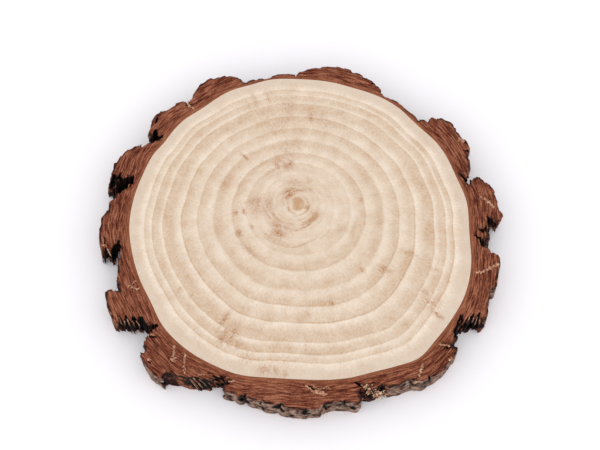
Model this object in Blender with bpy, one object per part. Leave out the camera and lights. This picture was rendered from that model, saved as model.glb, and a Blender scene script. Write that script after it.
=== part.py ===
"""A round slice of a young conifer trunk, lying flat between two saw cuts: pale wood with a ring of flaky bark round it.

Sizes are in millimetres. X runs to the right of someone who faces the slice, Y away from them and Z up, and the
underside is at Z = 0. The wood and the bark are two solids, a hair apart where the one grew on the other.
"""

import math

import bpy
import numpy as np
from mathutils import Vector, geometry

MM = 0.001

# The slice as a whole
THICKNESS = 15.0
GROWTH_GAP = 0.3  # between the wood and the bark, where the thin growing layer was
SIDES = 72  # corners round the wood, and so round the inside of the bark
WOOD_MIDDLE = (-0.8, 1.7)  # bearings and distances are measured from here
PITH = (-2.9, 17.5)  # where the tree's first year stands, behind the middle

# The wood's edge: bearing in degrees, counter-clockwise from +X, and distance from the middle of the wood
WOOD_EDGE = [
    (0, 101.0), (10, 101.7), (20, 100.8), (30, 102.0), (35, 102.3), (45, 101.8), (55, 104.3), (62, 105.0),
    (72, 104.7), (80, 105.5), (90, 106.0), (100, 107.4), (107, 106.6), (115, 106.8), (126, 104.4), (135, 104.9),
    (145, 103.2), (151, 103.9), (160, 103.2), (170, 103.3), (180, 103.3), (190, 102.4), (200, 102.0), (210, 102.0),
    (220, 104.7), (231, 105.3), (240, 104.8), (250, 104.0), (260, 101.3), (268, 100.7), (275, 101.5), (285, 103.5),
    (293, 104.6), (301, 107.6), (308, 110.7), (316, 108.9), (325, 107.8), (334, 107.1), (345, 104.6), (354, 101.7),
]

# The growth rings, each as a share of the way from the pith to the bark, and the shallow line worn at each
RINGS = [0.065, 0.115, 0.165, 0.21, 0.27, 0.39, 0.505, 0.595, 0.69, 0.80, 0.865, 0.91]
RING_LINE_WIDTH = 1.2
RING_LINE_DEPTH = 0.25
ROUND_PITH = 0.45  # the rings inside this share grow rounder towards the pith
LAST_RING = 0.97  # the flat rim of the wood's face starts here

# The bark's outline at the upper saw cut, plate by plate: bearing and distance from the middle of the wood. The pair
# before each list says how far the underside of that stretch is turned (degrees) and pushed out (mm) from the top.
BARK = [
    # the end of the right plate, a wall down to a furrow
    ((-1.0, 0.0), [(359.7, 106.8), (359.8, 110.0), (0.1, 112.9), (2.4, 113.3), (2.3, 115.5), (1.2, 117.0)]),
    ((0.0, -2.5), [(0.5, 118.8), (1.3, 120.8), (3.0, 122.0), (4.5, 121.6), (6.0, 120.5), (10.0, 120.2),
                   (12.5, 119.5), (14.6, 118.2), (15.0, 116.0), (16.5, 115.2), (18.0, 112.4)]),
    ((0.0, 0.0), [(17.4, 110.6), (18.0, 109.0), (17.0, 107.7), (16.1, 106.2), (17.2, 105.0), (18.4, 105.2),
                  (20.9, 103.6), (19.6, 105.9), (18.9, 107.0), (19.4, 108.3), (20.9, 108.0)]),
    # the plate behind it on the right
    ((0.0, -2.0), [(21.0, 109.8), (21.8, 110.9), (23.1, 112.3), (24.0, 112.9), (25.4, 113.0), (26.4, 114.2),
                   (27.2, 116.0), (28.2, 117.5), (29.3, 118.2), (30.5, 118.3), (31.6, 117.5), (35.0, 117.5),
                   (35.9, 118.5), (38.6, 118.7), (39.8, 117.1), (41.9, 116.0), (42.1, 113.1), (43.4, 112.8)]),
    ((0.0, -0.5), [(43.9, 110.2), (43.1, 108.1), (44.6, 108.1), (45.4, 106.6), (45.6, 105.2), (46.0, 104.0),
                   (47.0, 105.3), (48.5, 106.1), (50.0, 105.7), (51.5, 106.2), (53.0, 107.0), (54.5, 107.8),
                   (57.0, 107.7), (58.0, 107.0), (60.0, 107.3), (62.0, 107.9), (63.0, 108.7)]),
    # the long low plate at the back
    ((0.0, -2.5), [(63.2, 110.3), (65.0, 111.7), (66.5, 114.2), (69.0, 114.5), (70.0, 113.7), (71.0, 115.7),
                   (73.6, 116.4), (74.5, 117.9), (76.5, 118.2), (77.5, 117.1), (78.4, 117.7), (80.5, 117.2),
                   (81.5, 116.5), (83.0, 116.8), (84.4, 115.3), (85.2, 115.6), (86.5, 114.1), (88.5, 113.1),
                   (90.0, 111.8), (91.0, 110.9)]),
    ((0.0, -0.5), [(91.6, 109.5), (92.2, 110.1), (93.0, 109.9), (94.0, 110.9), (96.0, 111.5), (98.0, 111.0),
                   (99.5, 109.8), (101.0, 109.3), (103.0, 109.5), (105.5, 110.2), (107.5, 110.1), (108.3, 108.8)]),
    # the rounded plate at the back left
    ((0.0, -2.5), [(108.9, 109.8), (109.5, 112.0), (110.8, 115.0), (112.0, 116.8), (113.3, 117.8), (115.0, 118.6),
                   (117.0, 120.0), (118.7, 121.0), (120.0, 120.4), (122.0, 120.1), (123.5, 118.3), (125.0, 116.5),
                   (125.8, 114.8), (127.4, 114.1), (128.4, 112.2)]),
    ((0.0, 0.0), [(128.8, 110.6), (129.3, 112.8)]),
    ((0.0, -2.5), [(129.1, 115.0), (130.0, 116.4), (132.0, 117.9), (135.0, 118.1), (136.0, 119.0), (136.7, 120.3),
                   (139.0, 120.3), (141.0, 119.5), (142.0, 118.4), (143.2, 116.6), (145.1, 115.2), (145.6, 113.4)]),
    ((0.5, 0.0), [(144.2, 113.3), (142.8, 112.3), (143.2, 110.2), (144.0, 108.2), (143.1, 106.8)]),
    ((0.0, 0.0), [(143.8, 105.9), (144.8, 107.0), (146.3, 108.3), (147.0, 109.6), (147.6, 110.6), (148.3, 111.9),
                  (149.3, 112.2)]),
    # the plate at the left, up to a branching crevice
    ((0.0, -2.0), [(149.6, 113.9), (150.4, 116.0), (151.5, 117.3), (153.0, 118.3), (153.4, 120.3), (156.0, 121.1),
                   (158.0, 121.6), (158.7, 122.4), (160.0, 121.5), (162.5, 121.2), (164.0, 121.8), (165.4, 120.9)]),
    ((1.0, 0.0), [(164.2, 119.4), (165.2, 118.4), (166.6, 117.2), (166.2, 115.8), (164.4, 115.5), (162.6, 115.7),
                  (161.2, 116.5), (162.3, 114.8), (163.3, 113.4), (161.4, 111.6)]),
    ((0.0, 0.0), [(162.4, 110.3), (161.1, 108.6), (162.3, 108.3), (163.4, 105.9), (163.5, 108.5), (164.5, 109.6),
                  (165.7, 108.5), (165.8, 110.4), (167.4, 112.4), (168.6, 114.1), (170.4, 114.7), (170.8, 116.5)]),
    ((0.0, -2.0), [(172.0, 116.9), (174.5, 116.6), (175.0, 117.6), (176.0, 118.2), (176.3, 119.6), (177.5, 120.3),
                   (179.0, 119.8), (179.6, 120.5), (181.0, 121.0), (183.0, 120.9), (185.0, 120.7)]),
    # its torn end, in tongues
    ((0.0, 0.0), [(187.0, 120.5), (190.0, 120.4), (191.9, 120.1), (190.6, 118.6), (188.0, 118.2), (188.9, 117.2),
                  (190.6, 116.2), (190.9, 114.8), (189.2, 113.4), (187.6, 112.5), (186.6, 111.0), (185.2, 109.7)]),
    ((0.0, 0.0), [(187.2, 108.5), (188.3, 109.4), (190.0, 110.2), (191.6, 111.2), (193.2, 112.0), (194.5, 112.1),
                  (196.0, 112.5), (197.0, 113.5), (198.3, 114.6), (199.5, 114.4), (201.0, 115.1)]),
    # the square plate at the left front, with a combed end
    ((0.0, 0.0), [(202.3, 114.9), (202.0, 116.4), (201.0, 118.3), (200.7, 120.0)]),
    ((0.0, -2.5), [(200.5, 121.5), (201.2, 123.3), (203.0, 124.7), (205.0, 125.7), (207.0, 125.5), (209.0, 126.5),
                   (210.5, 127.1), (211.9, 126.2)]),
    ((0.8, 0.0), [(209.8, 123.9), (211.3, 122.6), (211.0, 119.3), (213.5, 118.2), (212.3, 115.6), (214.4, 113.8),
                  (213.9, 112.2)]),
    ((0.0, 0.0), [(216.2, 111.0), (217.1, 108.6), (217.8, 106.6), (218.4, 108.6), (218.3, 112.4), (218.7, 115.0),
                  (219.4, 117.0)]),
    # the broad plate at the left front, with a spike and a corner broken off in steps
    ((0.0, -1.0), [(220.0, 118.4), (220.3, 120.0), (222.0, 121.2), (222.5, 122.5), (222.3, 124.0), (221.9, 125.2),
                   (222.7, 126.3)]),
    ((0.0, -3.5), [(224.0, 127.2), (226.0, 128.3), (227.2, 129.0), (229.0, 129.0), (230.8, 128.8)]),
    ((0.0, 2.0), [(231.3, 127.0), (231.0, 124.6), (231.5, 122.3), (233.0, 121.4), (234.5, 119.8), (236.5, 119.0),
                  (238.5, 117.0), (241.0, 116.0), (242.3, 114.4), (242.9, 112.4)]),
    ((0.0, 0.0), [(243.8, 110.9), (245.0, 110.6), (245.7, 108.2), (246.5, 110.6), (247.3, 111.0), (248.0, 108.0),
                  (248.6, 110.6), (247.5, 112.6), (247.0, 114.4)]),
    # the long plate at the front
    ((0.0, -2.5), [(247.3, 116.2), (249.0, 115.9), (250.5, 115.9), (252.5, 116.8), (253.6, 116.0), (254.0, 114.2),
                   (254.5, 115.7), (256.0, 116.6), (258.5, 116.2), (260.0, 117.0), (262.6, 117.1), (264.2, 115.9),
                   (264.7, 117.7), (266.0, 118.5), (268.0, 119.3), (271.0, 119.9), (271.6, 119.2), (275.0, 119.5),
                   (275.8, 117.6), (277.5, 116.6), (279.0, 116.1), (281.5, 117.2), (283.5, 118.2), (285.3, 120.2),
                   (286.4, 119.9)]),
    ((0.0, 0.0), [(286.7, 117.0), (286.4, 113.0), (286.6, 109.6), (287.4, 106.8), (288.1, 108.4), (288.0, 110.6)]),
    # the grown-over stub of a twig, and the plate at the right front
    ((0.0, -1.5), [(288.4, 114.0), (289.2, 116.6), (290.6, 118.2), (291.8, 117.0), (292.8, 115.4), (293.8, 113.8),
                   (294.6, 114.9)]),
    ((0.0, -3.0), [(295.2, 116.8), (297.0, 117.2), (298.6, 118.6), (301.0, 118.5), (302.3, 119.5), (303.6, 121.5),
                   (304.4, 123.4), (306.0, 124.2), (308.5, 124.7), (311.0, 125.0), (313.0, 124.3), (315.0, 123.5),
                   (317.0, 122.6), (318.0, 121.5)]),
    ((0.0, 0.0), [(318.2, 119.5), (316.9, 118.0), (315.8, 116.0), (316.3, 113.4), (317.4, 116.8), (319.0, 118.2),
                  (320.0, 117.2), (320.6, 115.9), (322.0, 115.3), (324.0, 113.9), (326.4, 112.4), (327.5, 110.4),
                  (327.5, 113.0), (325.8, 114.9)]),
    # the right front plate, with a combed end
    ((-1.5, 0.0), [(327.3, 115.9), (329.3, 117.2), (328.5, 118.9), (329.9, 120.4), (329.4, 122.6)]),
    ((0.0, -2.0), [(330.0, 124.6), (331.5, 123.9), (333.0, 123.0), (334.5, 121.9), (336.0, 121.5), (338.0, 120.6),
                   (339.7, 120.0), (339.9, 121.4), (340.8, 122.1), (343.0, 121.5), (345.0, 121.0), (348.0, 121.2),
                   (349.7, 120.4), (350.8, 118.5), (351.5, 116.4)]),
    ((0.0, 0.0), [(351.7, 114.6), (352.7, 113.2), (353.3, 111.5), (353.0, 109.4), (354.0, 108.0), (355.1, 108.8),
                  (355.5, 110.6), (356.7, 111.2), (357.4, 112.4), (358.0, 111.2), (358.1, 108.6), (358.8, 106.6)]),
]
BARK_STEP = 3.2  # a longer side of the outline is split, so that it can be ragged
RAGGED = 0.35  # how far a corner strays from its place

# Each depth below the upper cut as a share of the thickness: how much of the lean is there, and how far the flakes of
# bark that end there stand out or are broken back
FLAKE_LEVELS = [(0.0, 0.0, 0.0), (0.26, 0.1, 0.9), (0.34, 0.45, -0.5), (0.68, 0.6, 0.8), (1.0, 1.0, 0.0)]

# The cut edges of the bark's layers: bearings from and to, and how far outside the wood each fine groove runs
LAYER_LINES = [
    (1.5, 14.0, 5.6), (3.0, 12.5, 9.4), (4.0, 11.0, 13.6), (24.0, 41.0, 5.0), (29.0, 40.0, 10.2), (66.0, 88.0, 4.4),
    (72.0, 84.0, 8.4), (110.5, 124.0, 4.8), (113.5, 123.0, 9.0), (131.0, 141.5, 4.6), (132.5, 141.0, 9.8),
    (151.5, 160.0, 5.0), (153.5, 160.5, 10.4), (155.0, 162.0, 14.6), (171.0, 184.5, 4.6), (173.0, 185.0, 9.2),
    (204.0, 213.0, 6.0), (203.5, 210.5, 12.4), (203.5, 209.0, 18.2), (221.5, 240.0, 5.0), (223.5, 236.0, 9.6),
    (225.5, 231.0, 16.2), (250.5, 271.0, 5.2), (254.5, 284.0, 10.4), (265.0, 274.5, 15.2), (296.0, 314.0, 5.0),
    (304.5, 314.5, 9.6), (331.0, 351.0, 5.6), (332.5, 349.5, 10.6), (341.5, 349.0, 14.6),
]
LAYER_LINE_WIDTH = 0.9
LAYER_LINE_DEPTH = 0.5


def spot(bearing, distance):
    """The place, in the frame, at this bearing and distance from the middle of the wood."""
    a = math.radians(bearing)
    return np.array([WOOD_MIDDLE[0] + distance * math.cos(a), WOOD_MIDDLE[1] + distance * math.sin(a)])


def wood_edge(bearing):
    """The wood's edge at a bearing, as a smooth closed curve through its own points."""
    at = np.array([k[0] for k in WOOD_EDGE], float)
    far = np.array([k[1] for k in WOOD_EDGE], float)
    i = int(np.searchsorted(at, bearing % 360, side="right")) - 1
    around = [(i + k) % len(at) for k in (-1, 0, 1, 2)]
    a = [at[j] + 360 * ((i + k) // len(at)) for j, k in zip(around, (-1, 0, 1, 2))]
    r = [far[j] for j in around]
    span = a[2] - a[1]
    t = (bearing % 360 - a[1]) / span
    slope_in = (r[2] - r[0]) / (a[2] - a[0]) * span
    slope_out = (r[3] - r[1]) / (a[3] - a[1]) * span
    return ((2 * t**3 - 3 * t**2 + 1) * r[1] + (t**3 - 2 * t**2 + t) * slope_in
            + (3 * t**2 - 2 * t**3) * r[2] + (t**3 - t**2) * slope_out)


def make(name, points, faces):
    """A solid from points in millimetres and faces, with its faces turned outwards."""
    mesh = bpy.data.meshes.new(name)
    mesh.from_pydata([tuple(float(c) * MM for c in p) for p in points], [], [tuple(map(int, f)) for f in faces])
    node = bpy.data.objects.new(name, mesh)
    bpy.context.scene.collection.objects.link(node)
    bpy.context.view_layer.objects.active = node
    bpy.ops.object.mode_set(mode="EDIT")
    bpy.ops.mesh.select_all(action="SELECT")
    bpy.ops.mesh.normals_make_consistent(inside=False)
    bpy.ops.mesh.quads_convert_to_tris()
    bpy.ops.object.mode_set(mode="OBJECT")
    return node


def wood():
    """The wood: a flat disc, with a shallow line worn in its upper face at each growth ring."""
    bearings = [360 * k / SIDES for k in range(SIDES)]
    edge = np.array([spot(b, wood_edge(b)) for b in bearings])
    pith = np.array(PITH)
    reach = np.linalg.norm(edge - pith, axis=1)
    towards = (edge - pith) / reach[:, None]

    def loop(share):
        rounder = reach.mean() + (reach - reach.mean()) * min(1.0, 0.45 + share / ROUND_PITH * 0.55)
        return pith + towards * (share * rounder)[:, None]

    half = RING_LINE_WIDTH / 2 / reach.mean()
    rows = []
    for share in RINGS:
        rows += [(loop(share - half), 0.0), (loop(share), -RING_LINE_DEPTH), (loop(share + half), 0.0)]
    rows += [(loop(LAST_RING), 0.0), (edge, 0.0)]
    points = [(*pith, THICKNESS)]
    for places, rise in rows:
        points += [(*p, THICKNESS + rise) for p in places]
    points += [(*p, 0.0) for p in edge]
    faces = [(0, 1 + k, 1 + (k + 1) % SIDES) for k in range(SIDES)]
    for row in range(len(rows)):
        low = 1 + row * SIDES
        for k in range(SIDES):
            j = (k + 1) % SIDES
            faces.append((low + k, low + SIDES + k, low + SIDES + j, low + j))
    last = 1 + len(rows) * SIDES
    faces.append([last + k for k in range(SIDES)])
    return make("wood", points, faces)


def bark_outline():
    """The bark's outline at the upper cut, and for each corner how the underside differs from it and how flaky it is."""
    places, leans = [], []
    for (turn, push), knots in BARK:
        for bearing, distance in knots:
            top = spot(bearing, distance)
            places.append(top)
            flaky = 1.0 if push < -1 else 0.25
            leans.append([*(spot(bearing + turn, distance + push) - top), flaky])
    places, leans = np.array(places), np.array(leans)
    out, lean = [], []
    for k in range(len(places)):
        a, b = places[k], places[(k + 1) % len(places)]
        parts = max(1, math.ceil(np.linalg.norm(b - a) / BARK_STEP))
        for i in range(parts):
            out.append(a + (b - a) * i / parts)
            lean.append(leans[k] + (leans[(k + 1) % len(places)] - leans[k]) * i / parts)
    out, lean = np.array(out), np.array(lean)
    for _ in range(3):
        lean = (np.roll(lean, 1, axis=0) + 2 * lean + np.roll(lean, -1, axis=0)) / 4
    return out, lean[:, :2], lean[:, 2]


def outward(loop):
    """The unit normals of a counter-clockwise loop."""
    along = np.roll(loop, -1, axis=0) - np.roll(loop, 1, axis=0)
    along /= np.maximum(np.linalg.norm(along, axis=1), 1e-9)[:, None]
    return np.stack([along[:, 1], -along[:, 0]], axis=1)


def inside(point, loop):
    """Whether a point lies inside a closed loop."""
    x, y = point
    a, b = loop, np.roll(loop, -1, axis=0)
    crosses = (a[:, 1] > y) != (b[:, 1] > y)
    at = a[:, 0] + (y - a[:, 1]) / np.where(crosses, b[:, 1] - a[:, 1], 1.0) * (b[:, 0] - a[:, 0])
    return bool(np.count_nonzero(crosses & (x < at)) % 2)


def room(points, outer, inner):
    """The distance from each point to the nearest side of either outline."""
    least = np.full(len(points), np.inf)
    for loop in (outer, inner):
        a, b = loop, np.roll(loop, -1, axis=0)
        for p, q in zip(a, b):
            t = np.clip(((points - p) @ (q - p)) / max(float((q - p) @ (q - p)), 1e-9), 0, 1)
            least = np.minimum(least, np.linalg.norm(points - (p + t[:, None] * (q - p)), axis=1))
    return least


def layer_lines(outer, inner):
    """The fine grooves along the cut edges of the bark's layers, kept clear of the bark's edges."""
    lines = []
    for start, end, out in LAYER_LINES:
        count = max(3, math.ceil((end - start) / 2.2))
        middle = []
        for k in range(count + 1):
            b = start + (end - start) * k / count
            middle.append(spot(b, wood_edge(b) + out + 0.35 * math.sin(b * 1.7 + out)))
        middle = np.array(middle)
        keep = (room(middle, outer, inner) > 1.6) & np.array([inside(p, outer) for p in middle])
        run = []
        for p, good in zip(middle, keep):
            if good:
                run.append(p)
            else:
                if len(run) > 3:
                    lines.append(np.array(run))
                run = []
        if len(run) > 3:
            lines.append(np.array(run))
    return lines


def fill(outer, inner, lines, height, first):
    """A flat ring of triangles between two outlines, with grooves let into it. Returns its new points and its faces."""
    flat = [Vector(p) for p in outer] + [Vector(p) for p in inner]
    n, m = len(outer), len(inner)
    rise = [height] * (n + m)
    edges = [(k, (k + 1) % n) for k in range(n)] + [(n + k, n + (k + 1) % m) for k in range(m)]
    for line in lines:
        along = np.gradient(line, axis=0)
        along /= np.linalg.norm(along, axis=1)[:, None]
        side = np.stack([-along[:, 1], along[:, 0]], axis=1) * LAYER_LINE_WIDTH / 2
        start = len(flat)
        count = len(line)
        flat += [Vector(p) for p in line]
        rise += [height] + [height - LAYER_LINE_DEPTH] * (count - 2) + [height]
        edges += [(start + k, start + k + 1) for k in range(count - 1)]
        for turn in (1, -1):
            low = len(flat)
            flat += [Vector(p) for p in (line + turn * side)[1:-1]]
            rise += [height] * (count - 2)
            edges += [(low + k, low + k + 1) for k in range(count - 3)]
            edges += [(start, low), (low + count - 3, start + count - 1)]
    made = geometry.delaunay_2d_cdt(flat, edges, [], 0, 1e-7)
    origin = [ids[0] if ids else None for ids in made[3]]
    if None in origin:
        raise ValueError("the bark's outline crosses itself")
    faces = []
    for f in made[2]:
        middle = sum((np.array(made[0][v]) for v in f), np.zeros(2)) / len(f)
        if inside(middle, outer) and not inside(middle, inner):
            faces.append([origin[v] for v in f])
    extra = [(flat[k].x, flat[k].y, rise[k]) for k in range(n + m, len(flat))]
    return extra, [[k if k < n + m else first + k - n - m for k in f] for f in faces]


def bark_levels():
    """The bark's outline at each depth, ragged and flaky, as pairs of its places and its height."""
    draw = np.random.default_rng(7)
    top, lean, flaky = bark_outline()
    wander = draw.normal(size=len(top)) * RAGGED * 0.7
    normal = outward(top)
    levels = []
    for depth, share, flake in FLAKE_LEVELS:
        broken = draw.normal(size=len(top))
        for _ in range(2):
            broken = (np.roll(broken, 1) + broken + np.roll(broken, -1)) / 3
        stray = draw.normal(size=len(top)) * RAGGED * 0.4
        push = wander + stray + flake * (0.5 + 0.9 * np.clip(broken, -1, 1)) * flaky
        levels.append((top + lean * share + normal * push[:, None], THICKNESS * (1 - depth)))
    return levels


def bark():
    """The bark: one ring whose outer side is broken into plates and flakes, cut flat above and below."""
    levels = bark_levels()
    n = len(levels[0][0])
    bearings = [360 * k / SIDES for k in range(SIDES)]
    inner = np.array([spot(b, wood_edge(b) + GROWTH_GAP) for b in bearings])
    points, loops = [], []
    for places, height in levels:
        loops.append(len(points))
        points += [(*p, height) for p in places]
    inner_top, inner_low = len(points), len(points) + SIDES
    points += [(*p, THICKNESS) for p in inner] + [(*p, 0.0) for p in inner]
    faces = []
    for high, low in zip(loops, loops[1:]):
        for k in range(n):
            j = (k + 1) % n
            faces += [(high + k, low + k, low + j), (high + k, low + j, high + j)]
    for k in range(SIDES):
        j = (k + 1) % SIDES
        faces.append((inner_top + k, inner_top + j, inner_low + j, inner_low + k))
    for places, start, inner_start, lines in (
        (levels[0][0], loops[0], inner_top, layer_lines(levels[0][0], inner)),
        (levels[-1][0], loops[-1], inner_low, []),
    ):
        height = THICKNESS if inner_start == inner_top else 0.0
        extra, caps = fill(places, inner, lines, height, len(points))
        points += extra
        for f in caps:
            faces.append([start + v if v < n else inner_start + v - n if v < n + SIDES else v for v in f])
    return make("bark", points, faces)


for left_over in list(bpy.data.objects):
    bpy.data.objects.remove(left_over)
wood()
bark()
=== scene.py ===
import math

import bpy
import numpy as np
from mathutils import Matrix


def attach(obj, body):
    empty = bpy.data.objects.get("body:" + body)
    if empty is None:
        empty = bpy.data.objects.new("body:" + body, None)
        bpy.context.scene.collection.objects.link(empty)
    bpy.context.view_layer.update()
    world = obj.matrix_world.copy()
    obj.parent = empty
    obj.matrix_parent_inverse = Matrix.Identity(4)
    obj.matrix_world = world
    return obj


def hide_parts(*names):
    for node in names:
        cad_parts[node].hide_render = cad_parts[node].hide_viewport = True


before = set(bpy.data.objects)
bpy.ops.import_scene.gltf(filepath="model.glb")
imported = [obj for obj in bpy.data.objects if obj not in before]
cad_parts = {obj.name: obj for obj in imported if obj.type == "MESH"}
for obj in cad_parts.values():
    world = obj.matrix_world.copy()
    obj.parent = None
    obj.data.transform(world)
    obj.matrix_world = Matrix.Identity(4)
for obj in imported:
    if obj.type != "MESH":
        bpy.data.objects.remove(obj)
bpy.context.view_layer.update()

# The wood: a round of young pine, cut across the trunk between two fine saw cuts and left bare. It shows
# about fifteen growth rings round a pith that stands off centre, each with pale early wood and a tan
# late-wood line.
THICKNESS = 15.0
WOOD_MIDDLE = (-0.8, 1.7)
WOOD_RADIUS = 105.0  # on average
PITH = (-2.9, 17.5)

# The wood's edge: bearing in degrees, counter-clockwise from +X, and distance in mm from the wood's middle
WOOD_EDGE = [
    (0, 101.0), (10, 101.7), (20, 100.8), (30, 102.0), (35, 102.3), (45, 101.8), (55, 104.3),
    (62, 105.0), (72, 104.7), (80, 105.5), (90, 106.0), (100, 107.4), (107, 106.6), (115, 106.8),
    (126, 104.4), (135, 104.9), (145, 103.2), (151, 103.9), (160, 103.2), (170, 103.3), (180, 103.3),
    (190, 102.4), (200, 102.0), (210, 102.0), (220, 104.7), (231, 105.3), (240, 104.8), (250, 104.0),
    (260, 101.3), (268, 100.7), (275, 101.5), (285, 103.5), (293, 104.6), (301, 107.6), (308, 110.7),
    (316, 108.9), (325, 107.8), (334, 107.1), (345, 104.6), (354, 101.7),
]

# Each growth ring: the share of the way from pith to bark where its dark line ends it, how dark that line
# is, and how tan the wood is at the ring's start and before its line, from 0, pale cream, to 1, the brown of
# the pith
RINGS = [
    (0.038, 0.10, 0.92, 0.84), (0.065, 0.18, 0.40, 0.42), (0.098, 0.10, 0.20, 0.28), (0.130, 0.08, 0.24, 0.32),
    (0.165, 0.10, 0.26, 0.30), (0.210, 0.06, 0.22, 0.24), (0.265, 0.04, 0.16, 0.28), (0.305, 0.04, 0.26, 0.30),
    (0.390, 0.12, 0.16, 0.44), (0.505, 0.12, 0.15, 0.46), (0.595, 0.15, 0.14, 0.44), (0.690, 0.26, 0.12, 0.42),
    (0.800, 0.08, 0.05, 0.46), (0.865, 0.12, 0.08, 0.46), (0.910, 0.28, 0.04, 0.30), (1.000, 0.00, -0.02, 0.33),
]

# How far the outer rings wander from a true share, by bearing from the pith
RING_WANDER = [
    (0, -0.003), (30, -0.004), (60, -0.004), (90, -0.003), (100, -0.002), (125, -0.004), (150, 0.0),
    (165, -0.002), (180, -0.006), (192, 0.002), (205, 0.003), (213, 0.002), (222, -0.006), (235, -0.011),
    (246, 0.003), (262, -0.004), (270, -0.002), (285, 0.001), (300, 0.0), (312, -0.008), (330, -0.015),
    (345, -0.008),
]

# Thin dark arcs near the pith, where a year stopped short: bearing and share at each end, half width in mm,
# and how dark
ARCS = [
    (224, 0.262, 262, 0.252, 0.40, 0.50), (226, 0.276, 262, 0.263, 0.40, 0.55),
    (232, 0.250, 258, 0.242, 0.35, 0.35), (262, 0.266, 302, 0.219, 0.40, 0.60),
    (270, 0.252, 300, 0.208, 0.35, 0.32), (298, 0.236, 318, 0.232, 0.40, 0.50),
    (300, 0.218, 318, 0.224, 0.35, 0.35), (208, 0.158, 262, 0.132, 0.45, 0.50),
    (214, 0.146, 262, 0.122, 0.35, 0.50), (262, 0.168, 300, 0.136, 0.50, 0.42),
    (276, 0.150, 332, 0.128, 0.40, 0.62), (276, 0.132, 334, 0.118, 0.40, 0.60),
    (280, 0.118, 328, 0.108, 0.40, 0.70), (270, 0.100, 330, 0.094, 0.35, 0.42),
    (210, 0.122, 250, 0.104, 0.35, 0.35), (196, 0.060, 262, 0.054, 0.40, 0.60),
    (250, 0.072, 320, 0.060, 0.40, 0.60), (318, 0.044, 350, 0.050, 0.60, 0.75),
    (276, 0.350, 345, 0.342, 0.50, 0.26), (300, 0.365, 340, 0.352, 0.40, 0.20),
    (0, 0.055, 60, 0.050, 0.50, 0.35), (20, 0.155, 60, 0.145, 0.40, 0.22),
    (180, 0.205, 214, 0.180, 0.60, 0.40), (95, 0.100, 118, 0.100, 0.50, 0.45),
    (0, 0.896, 62, 0.893, 0.45, 0.24), (120, 0.214, 150, 0.210, 0.50, 0.20),
    (168, 0.082, 192, 0.080, 0.60, 0.45), (170, 0.190, 192, 0.182, 0.70, 0.40),
    (112, 0.298, 140, 0.290, 0.70, 0.30), (118, 0.385, 142, 0.384, 0.60, 0.30),
]


def through_knots(knots, bearings):
    """A smooth closed curve through knots of bearing and value, read at any bearings."""
    at = np.array([k[0] for k in knots], float)
    value = np.array([k[1] for k in knots], float)
    n = len(at)
    b = np.asarray(bearings, float) % 360
    i = np.searchsorted(at, b, side="right") - 1
    a = [at[(i + k) % n] + 360 * ((i + k) // n) for k in (-1, 0, 1, 2)]
    v = [value[(i + k) % n] for k in (-1, 0, 1, 2)]
    span = a[2] - a[1]
    t = (b - a[1]) / span
    lead_in = (v[2] - v[0]) / (a[2] - a[0]) * span
    lead_out = (v[3] - v[1]) / (a[3] - a[1]) * span
    return ((2 * t**3 - 3 * t**2 + 1) * v[1] + (t**3 - 2 * t**2 + t) * lead_in
            + (3 * t**2 - 2 * t**3) * v[2] + (t**3 - t**2) * lead_out)


def drift(turn, cells, up, across, seed):
    """Smooth random drift from 0 to 1, in so many cells round the trunk, and closed after one turn."""
    table = np.random.default_rng(seed).random(8192)
    turn, up, across = np.broadcast_arrays(turn * cells, up, across)
    corner = [np.floor(c).astype(np.int64) for c in (turn, up, across)]
    share = [c - k for c, k in zip((turn, up, across), corner)]
    share = [s * s * (3 - 2 * s) for s in share]
    total = np.zeros(turn.shape)
    for i in (0, 1):
        for j in (0, 1):
            for k in (0, 1):
                # three primes scatter the cells over the table
                mix = ((corner[0] + i) % cells) * 7919 + (corner[1] + j) * 104729 + (corner[2] + k) * 15485863
                weight = (share[0] if i else 1 - share[0]) * (share[1] if j else 1 - share[1])
                total += table[mix % 8192] * weight * (share[2] if k else 1 - share[2])
    return total


def ease(low, high, value):
    """0 below low, 1 above high, and smooth between."""
    t = np.clip((value - low) / (high - low), 0, 1)
    return t * t * (3 - 2 * t)


def linear(hex_colour):
    """A colour written as on screen, in the linear values that a finish takes."""
    channels = [int(hex_colour[k:k + 2], 16) / 255 for k in (1, 3, 5)]
    return [c / 12.92 if c <= 0.04045 else ((c + 0.055) / 1.055) ** 2.4 for c in channels] + [1.0]


def add(tree, kind, inputs=(), **settings):
    """Adds one node to a finish, with its settings, and with each input given as a value or as a link."""
    node = tree.nodes.new("ShaderNode" + kind)
    for name, value in settings.items():
        setattr(node, name, value)
    for name, value in dict(inputs).items():
        if isinstance(value, bpy.types.NodeSocket):
            tree.links.new(value, node.inputs[name])
        else:
            node.inputs[name].default_value = value
    return node


def piece_from(name, places, faces):
    """A mesh object from places in millimetres."""
    mesh = bpy.data.meshes.new(name)
    mesh.from_pydata((np.asarray(places) * 0.001).tolist(), [], [list(f) for f in faces])
    piece = bpy.data.objects.new(name, mesh)
    bpy.context.scene.collection.objects.link(piece)
    return piece


def mark(piece, name, values):
    """Keeps a number or a vector at each corner of a piece, for its finish to read."""
    values = np.asarray(values, np.float32)
    kind, field = ("FLOAT", "value") if values.ndim == 1 else ("FLOAT_VECTOR", "vector")
    layer = piece.data.attributes.new(name, kind, "POINT")
    layer.data.foreach_set(field, values.ravel())


def empty_finish(name):
    """A finish with nothing in it yet, and the tree that its nodes go in."""
    finish = bpy.data.materials.new(name)
    finish.use_nodes = True
    finish.node_tree.nodes.clear()
    return finish, finish.node_tree


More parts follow.
